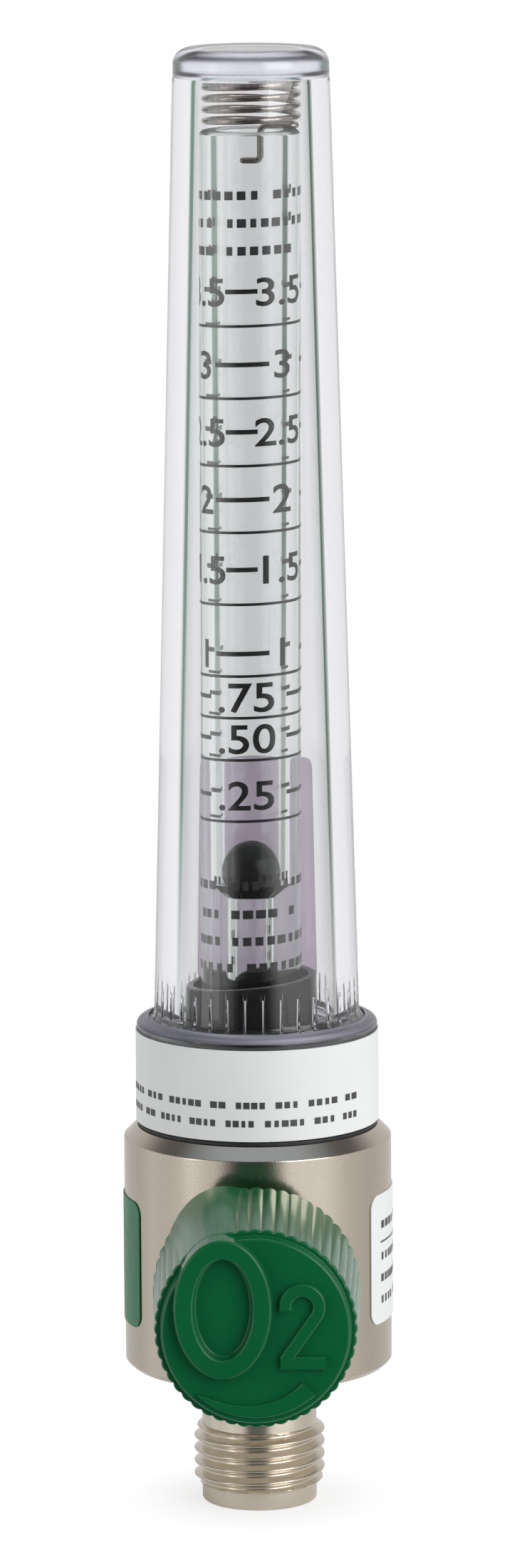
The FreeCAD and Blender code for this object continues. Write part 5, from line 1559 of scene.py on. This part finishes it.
def scale_dashes():
    """Long fine lines halfway between the numbers, and shorter, bolder dashes beside each number."""
    rows = [dash(SCALE_MIDDLE, FINE_WIDTH, height, FINE_LINE) for height in GRADUATIONS]
    for i, (_, height) in enumerate(NUMBERS):
        rows += [dash(angle, width, height, NUMBER_LINE)
                 for angle, width in ((SCALE_MIDDLE, MIDDLE_WIDTHS[i % 2]), *SIDE_DASHES)]
    for _, height in SMALL_NUMBERS:
        rows += [dash(angle, width, height, SMALL_LINE) for angle, width in SMALL_DASHES]
    return tube_print("scale_dashes", rows)


def scale_words():
    """Rows of blocks above and below the numbers, where the tube has its words."""
    draw = np.random.default_rng(WORD_SEED)
    rows = []
    for height, words in WORD_ROWS:
        for first, last in words:
            rows += marks(draw, INK_RADIUS, INK_THICKNESS, first, last, on_tube(height), WORD_HEIGHT,
                          SCALE_TILT)
    return tube_print("scale_words", rows)


dress(scale_numbers(), ink, "meter", "clear_tube")
dress(scale_dashes(), ink, "meter", "clear_tube")
dress(scale_words(), pale_ink, "meter", "clear_tube")

# %% [markdown]
# ## Solids that keep their own shape
# The small inner pieces are good as packed. They only take a material.

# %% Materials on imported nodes
for name, finish in (("outlet_ring", rubber), ("tube_gasket", rubber), ("stem_ring", rubber),
                     ("inlet_filter", bronze), ("bonnet_washer", washer_white), ("needle_stem", nickel),
                     ("knob_insert", brass)):
    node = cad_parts[name]
    node.data.materials.clear()
    node.data.materials.append(finish)
    print(name, "wears", finish.name)

# %% [markdown]
# ## Floor, light and view
# A white studio. The floor is pale and keeps the soft shadow near the foot, and turns to plain white further
# out, for the camera from 16 mm on and for mirrors from 42 mm on. It could be one diffuse white, but then it
# would need light bright enough to clip the pale parts of the meter.

# %% Floor
FLOOR_RADIUS = 8.0
FLOOR_RINGS = (0, 0.01, 0.03, 0.06, 0.12, 0.3, 1, 3, FLOOR_RADIUS)
FLOOR_LEVEL = -0.00005
FLOOR_NEAR, FLOOR_FAR = 0.005, 0.016
FLOOR_PALE = 0.72
MIRRORED_NEAR, MIRRORED_FAR = 0.012, 0.042


def floor_finish():
    """Plain white mixed over diffuse white by the distance from the axis. Only the camera sees the plain
    white: other rays pass through it to the surround."""
    made = bpy.data.materials.new("studio_floor")
    made.use_nodes = True
    tree = made.node_tree
    tree.nodes.clear()
    reach = add(tree, "VectorMath", {0: place_in(tree)}, operation="LENGTH").outputs["Value"]
    far = ranged(tree, reach, FLOOR_NEAR, FLOOR_FAR, least=FLOOR_PALE, interpolation_type="SMOOTHSTEP")
    far_mirrored = ranged(tree, reach, MIRRORED_NEAR, MIRRORED_FAR)
    path = add(tree, "LightPath").outputs
    bare = either(tree, path["Is Glossy Ray"], far, far_mirrored)
    matt = add(tree, "BsdfDiffuse", {"Color": (0.97, 0.97, 0.97, 1)}).outputs[0]
    bright = add(tree, "Emission", {"Color": (1, 1, 1, 1), "Strength": 1.0}).outputs[0]
    gone = add(tree, "BsdfTransparent").outputs[0]
    around = add(tree, "MixShader", {0: path["Is Camera Ray"], 1: gone, 2: bright}).outputs[0]
    mixed = add(tree, "MixShader", {0: bare, 1: matt, 2: around}).outputs[0]
    tree.links.new(mixed, add(tree, "OutputMaterial").inputs["Surface"])
    return made


def floor():
    """Rings of points round the axis, in metres, just below the mouth that the meter stands on."""
    grid = round_axis(np.array(FLOOR_RINGS)[:, None], ring_angles(96), FLOOR_LEVEL)
    disc = surface("studio_floor", grid / MM, closed=False)
    disc.data.materials.append(floor_finish())
    print("floor faces", len(disc.data.polygons))
    return disc


floor()

# %% [markdown]
# ### The surround
# The camera sees plain white. Reflections see a dim front, where the camera stands, a broad soft light on the
# right and a paler one on the left. Light that comes through clear parts sees white behind the object, and
# dark green cards at both sides: a hollow cylinder bends the rays at its bore's edge by about 65 degrees, so
# the cards draw the thin lines that show a clear wall. Low down the cards fade, as the lines do below the
# scale. A photographer would hang real cards and cloths. Here they are ramps over the direction's azimuth, in
# degrees from the front, and ramps over its height.

# %% Directions
OVERHEAD = (0.55, 0.95)
OVERHEAD_SHARE = 0.6
CEILING_EDGE = (0.42, 0.66)
CEILING_MIDDLE = (0.78, 0.93)
CARD_END = (-0.176, -0.150)
world = bpy.data.worlds.new("studio")
bpy.context.scene.world = world
world.use_nodes = True
sky = world.node_tree
sky.nodes.clear()
toward = add(sky, "SeparateXYZ", {0: place_in(sky)}).outputs
azimuth = calculated(sky, "ARCTAN2", toward["X"], calculated(sky, "MULTIPLY", toward["Y"], -1.0))
around = calculated(sky, "MULTIPLY_ADD", azimuth, 1 / TURN, 0.5)
overhead = ranged(sky, toward["Z"], *OVERHEAD, most=OVERHEAD_SHARE)
ceiling_edge = ranged(sky, toward["Z"], *CEILING_EDGE)
ceiling_middle = ranged(sky, toward["Z"], *CEILING_MIDDLE)
card_end = ranged(sky, toward["Z"], *CARD_END)
print("nodes for directions", len(sky.nodes))

# %% [markdown]
# ### Cards and lights
# Two ramps go round the object. One is what surfaces reflect, the other what clear parts let through. Above
# them stands a soft light, and for mirrors a dark ceiling with a pale blue middle.

# %% Cards and lights of the surround
LEFT_CARD, LEFT_FADED = (0.13, 0.26, 0.19), (0.70, 0.74, 0.73)
RIGHT_CARD, RIGHT_FADED = (0.03, 0.10, 0.05), (0.42, 0.44, 0.38)
CEILING_DARK, CEILING_BLUE = (0.12, 0.12, 0.125), (0.45, 0.53, 0.62)
OVERHEAD_LIGHT = (0.85, 0.86, 0.88)


def surround(*stops):
    """A colour ramp over the azimuth. A stop is an angle in degrees and its colour: one number for a grey, or
    three."""
    ramp = add(sky, "ValToRGB", {0: around})
    points = ramp.color_ramp.elements
    while len(points) < len(stops):
        points.new(0.5)
    for point, (degrees, _) in zip(points, stops):
        point.position = degrees / 360 + 0.5
    for point, (_, colour) in zip(points, stops):
        point.color = (*(colour if isinstance(colour, tuple) else (colour,) * 3), 1)
    return ramp.outputs[0]


def through(left, right):
    """What clear parts show behind them: white, with a card at each side that their edges bend into view."""
    return surround((-180, 1.0), (-128, 1.0), (-121, left), (-104, left), (-95, 0.7), (-44, 0.7), (-24, 0.10),
                    (20, 0.10), (36, 1.0), (95, 0.7), (104, right), (121, right), (128, 1.0), (180, 1.0))


reflected = surround((-180, 0.72), (-150, 0.62), (-122, 0.60), (-104, (0.74, 0.75, 0.75)),
                     (-88, (0.68, 0.69, 0.69)), (-60, (0.76, 0.77, 0.76)), (-36, (0.78, 0.78, 0.77)),
                     (-20, 0.05), (13, 0.05), (27, 1.0), (60, 1.0), (85, (0.70, 0.69, 0.68)), (115, 0.60),
                     (180, 0.72))
passed = between(sky, card_end, through(LEFT_FADED, RIGHT_FADED), through(LEFT_CARD, RIGHT_CARD))
mirrored = between(sky, ceiling_edge, reflected, between(sky, ceiling_middle, CEILING_DARK, CEILING_BLUE))
cast = between(sky, overhead, reflected, OVERHEAD_LIGHT)
shone = between(sky, overhead, passed, OVERHEAD_LIGHT)
print("nodes with the ramps", len(sky.nodes))

# %% [markdown]
# ### Which ray sees what
# Light Path tells the kinds of ray apart. A ray that has passed through glass counts as that first, then as a
# reflection, and all other rays light the object. The camera's own rays see plain white.

# %% World by kind of ray
path = add(sky, "LightPath").outputs
unpassed = between(sky, path["Is Glossy Ray"], cast, mirrored)
lit = between(sky, path["Is Transmission Ray"], unpassed, shone)
soft = add(sky, "Background", {"Color": lit, "Strength": 1.0}).outputs[0]
white = add(sky, "Background", {"Color": (1, 1, 1, 1), "Strength": 1.0}).outputs[0]
final = add(sky, "MixShader", {0: path["Is Camera Ray"], 1: soft, 2: white}).outputs[0]
sky.links.new(final, add(sky, "OutputWorld").inputs["Surface"])
print("nodes in the world", len(sky.nodes))

# %% [markdown]
# ### Lamps
# The surround alone would leave no shadow and no sharp light. A broad lamp high on the right draws the bright
# upright band on the drum and the shadow at the foot, and a weaker, narrow one on the left opens the other
# side.

# %% Lamps


def lamp(name, azimuth, height, distance, width, tall, power, aim=0.06):
    """A rectangular lamp at an azimuth round the object, where 0 faces the knob, aimed at a height on its
    axis."""
    light = bpy.data.lights.new(name, "AREA")
    light.shape = "RECTANGLE"
    light.size, light.size_y = width, tall
    light.energy = power
    turn = radians(azimuth - 90)
    place = Vector((distance * cos(turn), distance * sin(turn), height))
    aimed = (Vector((0, 0, aim)) - place).to_track_quat("-Z", "Y").to_matrix().to_4x4()
    item = bpy.data.objects.new(name, light)
    item.matrix_world = Matrix.Translation(place) @ aimed
    bpy.context.scene.collection.objects.link(item)
    print(name, "watts", power, "metres away", distance)


lamp("right_key", azimuth=44, height=0.55, distance=1.1, width=0.85, tall=0.95, power=6.5)
lamp("left_strip", azimuth=-58, height=0.30, distance=1.2, width=0.30, tall=1.0, power=1.0)

# %% [markdown]
# ### The view
# The camera stands where the ellipses of the round edges put it: about 0.8 m in front of the meter, half a
# degree to the right, looking down by about 10 degrees. It could track an empty, but turns written as numbers
# keep its small roll.

# %% Camera
FOCAL_PIXELS = 10400
PICTURE_HEIGHT = 2202
SENSOR = 36.0
CAMERA_DISTANCE = 0.787
CAMERA_HEIGHT = 0.2131
CAMERA_AZIMUTH = radians(0.5)
CAMERA_YAW = radians(-0.005)
CAMERA_PITCH = radians(9.66)
CAMERA_ROLL = radians(-0.36)
CLIP = (0.05, 50)
camera = bpy.data.cameras.new("view")
camera.sensor_width = SENSOR
camera.lens = SENSOR * FOCAL_PIXELS / PICTURE_HEIGHT
camera.clip_start, camera.clip_end = CLIP
stand = Vector((CAMERA_DISTANCE * sin(CAMERA_AZIMUTH), -CAMERA_DISTANCE * cos(CAMERA_AZIMUTH), CAMERA_HEIGHT))
eye = bpy.data.objects.new("view", camera)
eye.matrix_world = (Matrix.Translation(stand) @ Matrix.Rotation(CAMERA_AZIMUTH + CAMERA_YAW, 4, "Z")
                    @ Matrix.Rotation(pi / 2 - CAMERA_PITCH, 4, "X") @ Matrix.Rotation(CAMERA_ROLL, 4, "Z"))
bpy.context.scene.collection.objects.link(eye)
bpy.context.scene.camera = eye
bpy.context.scene.view_settings.view_transform = "Standard"
print("lens", round(camera.lens, 2), "mm, distance", CAMERA_DISTANCE, "m")

# %% [markdown]
# ## Light paths
# Light turns many times inside the solid crown and flange of the cover. The usual four mirror bounces would
# leave black patches there, so the paths may be longer.

# %% Longer light paths
cycles = bpy.context.scene.cycles
cycles.max_bounces = 24
cycles.glossy_bounces = 16
cycles.transmission_bounces = 20
print("bounces", cycles.max_bounces, cycles.glossy_bounces, cycles.transmission_bounces)
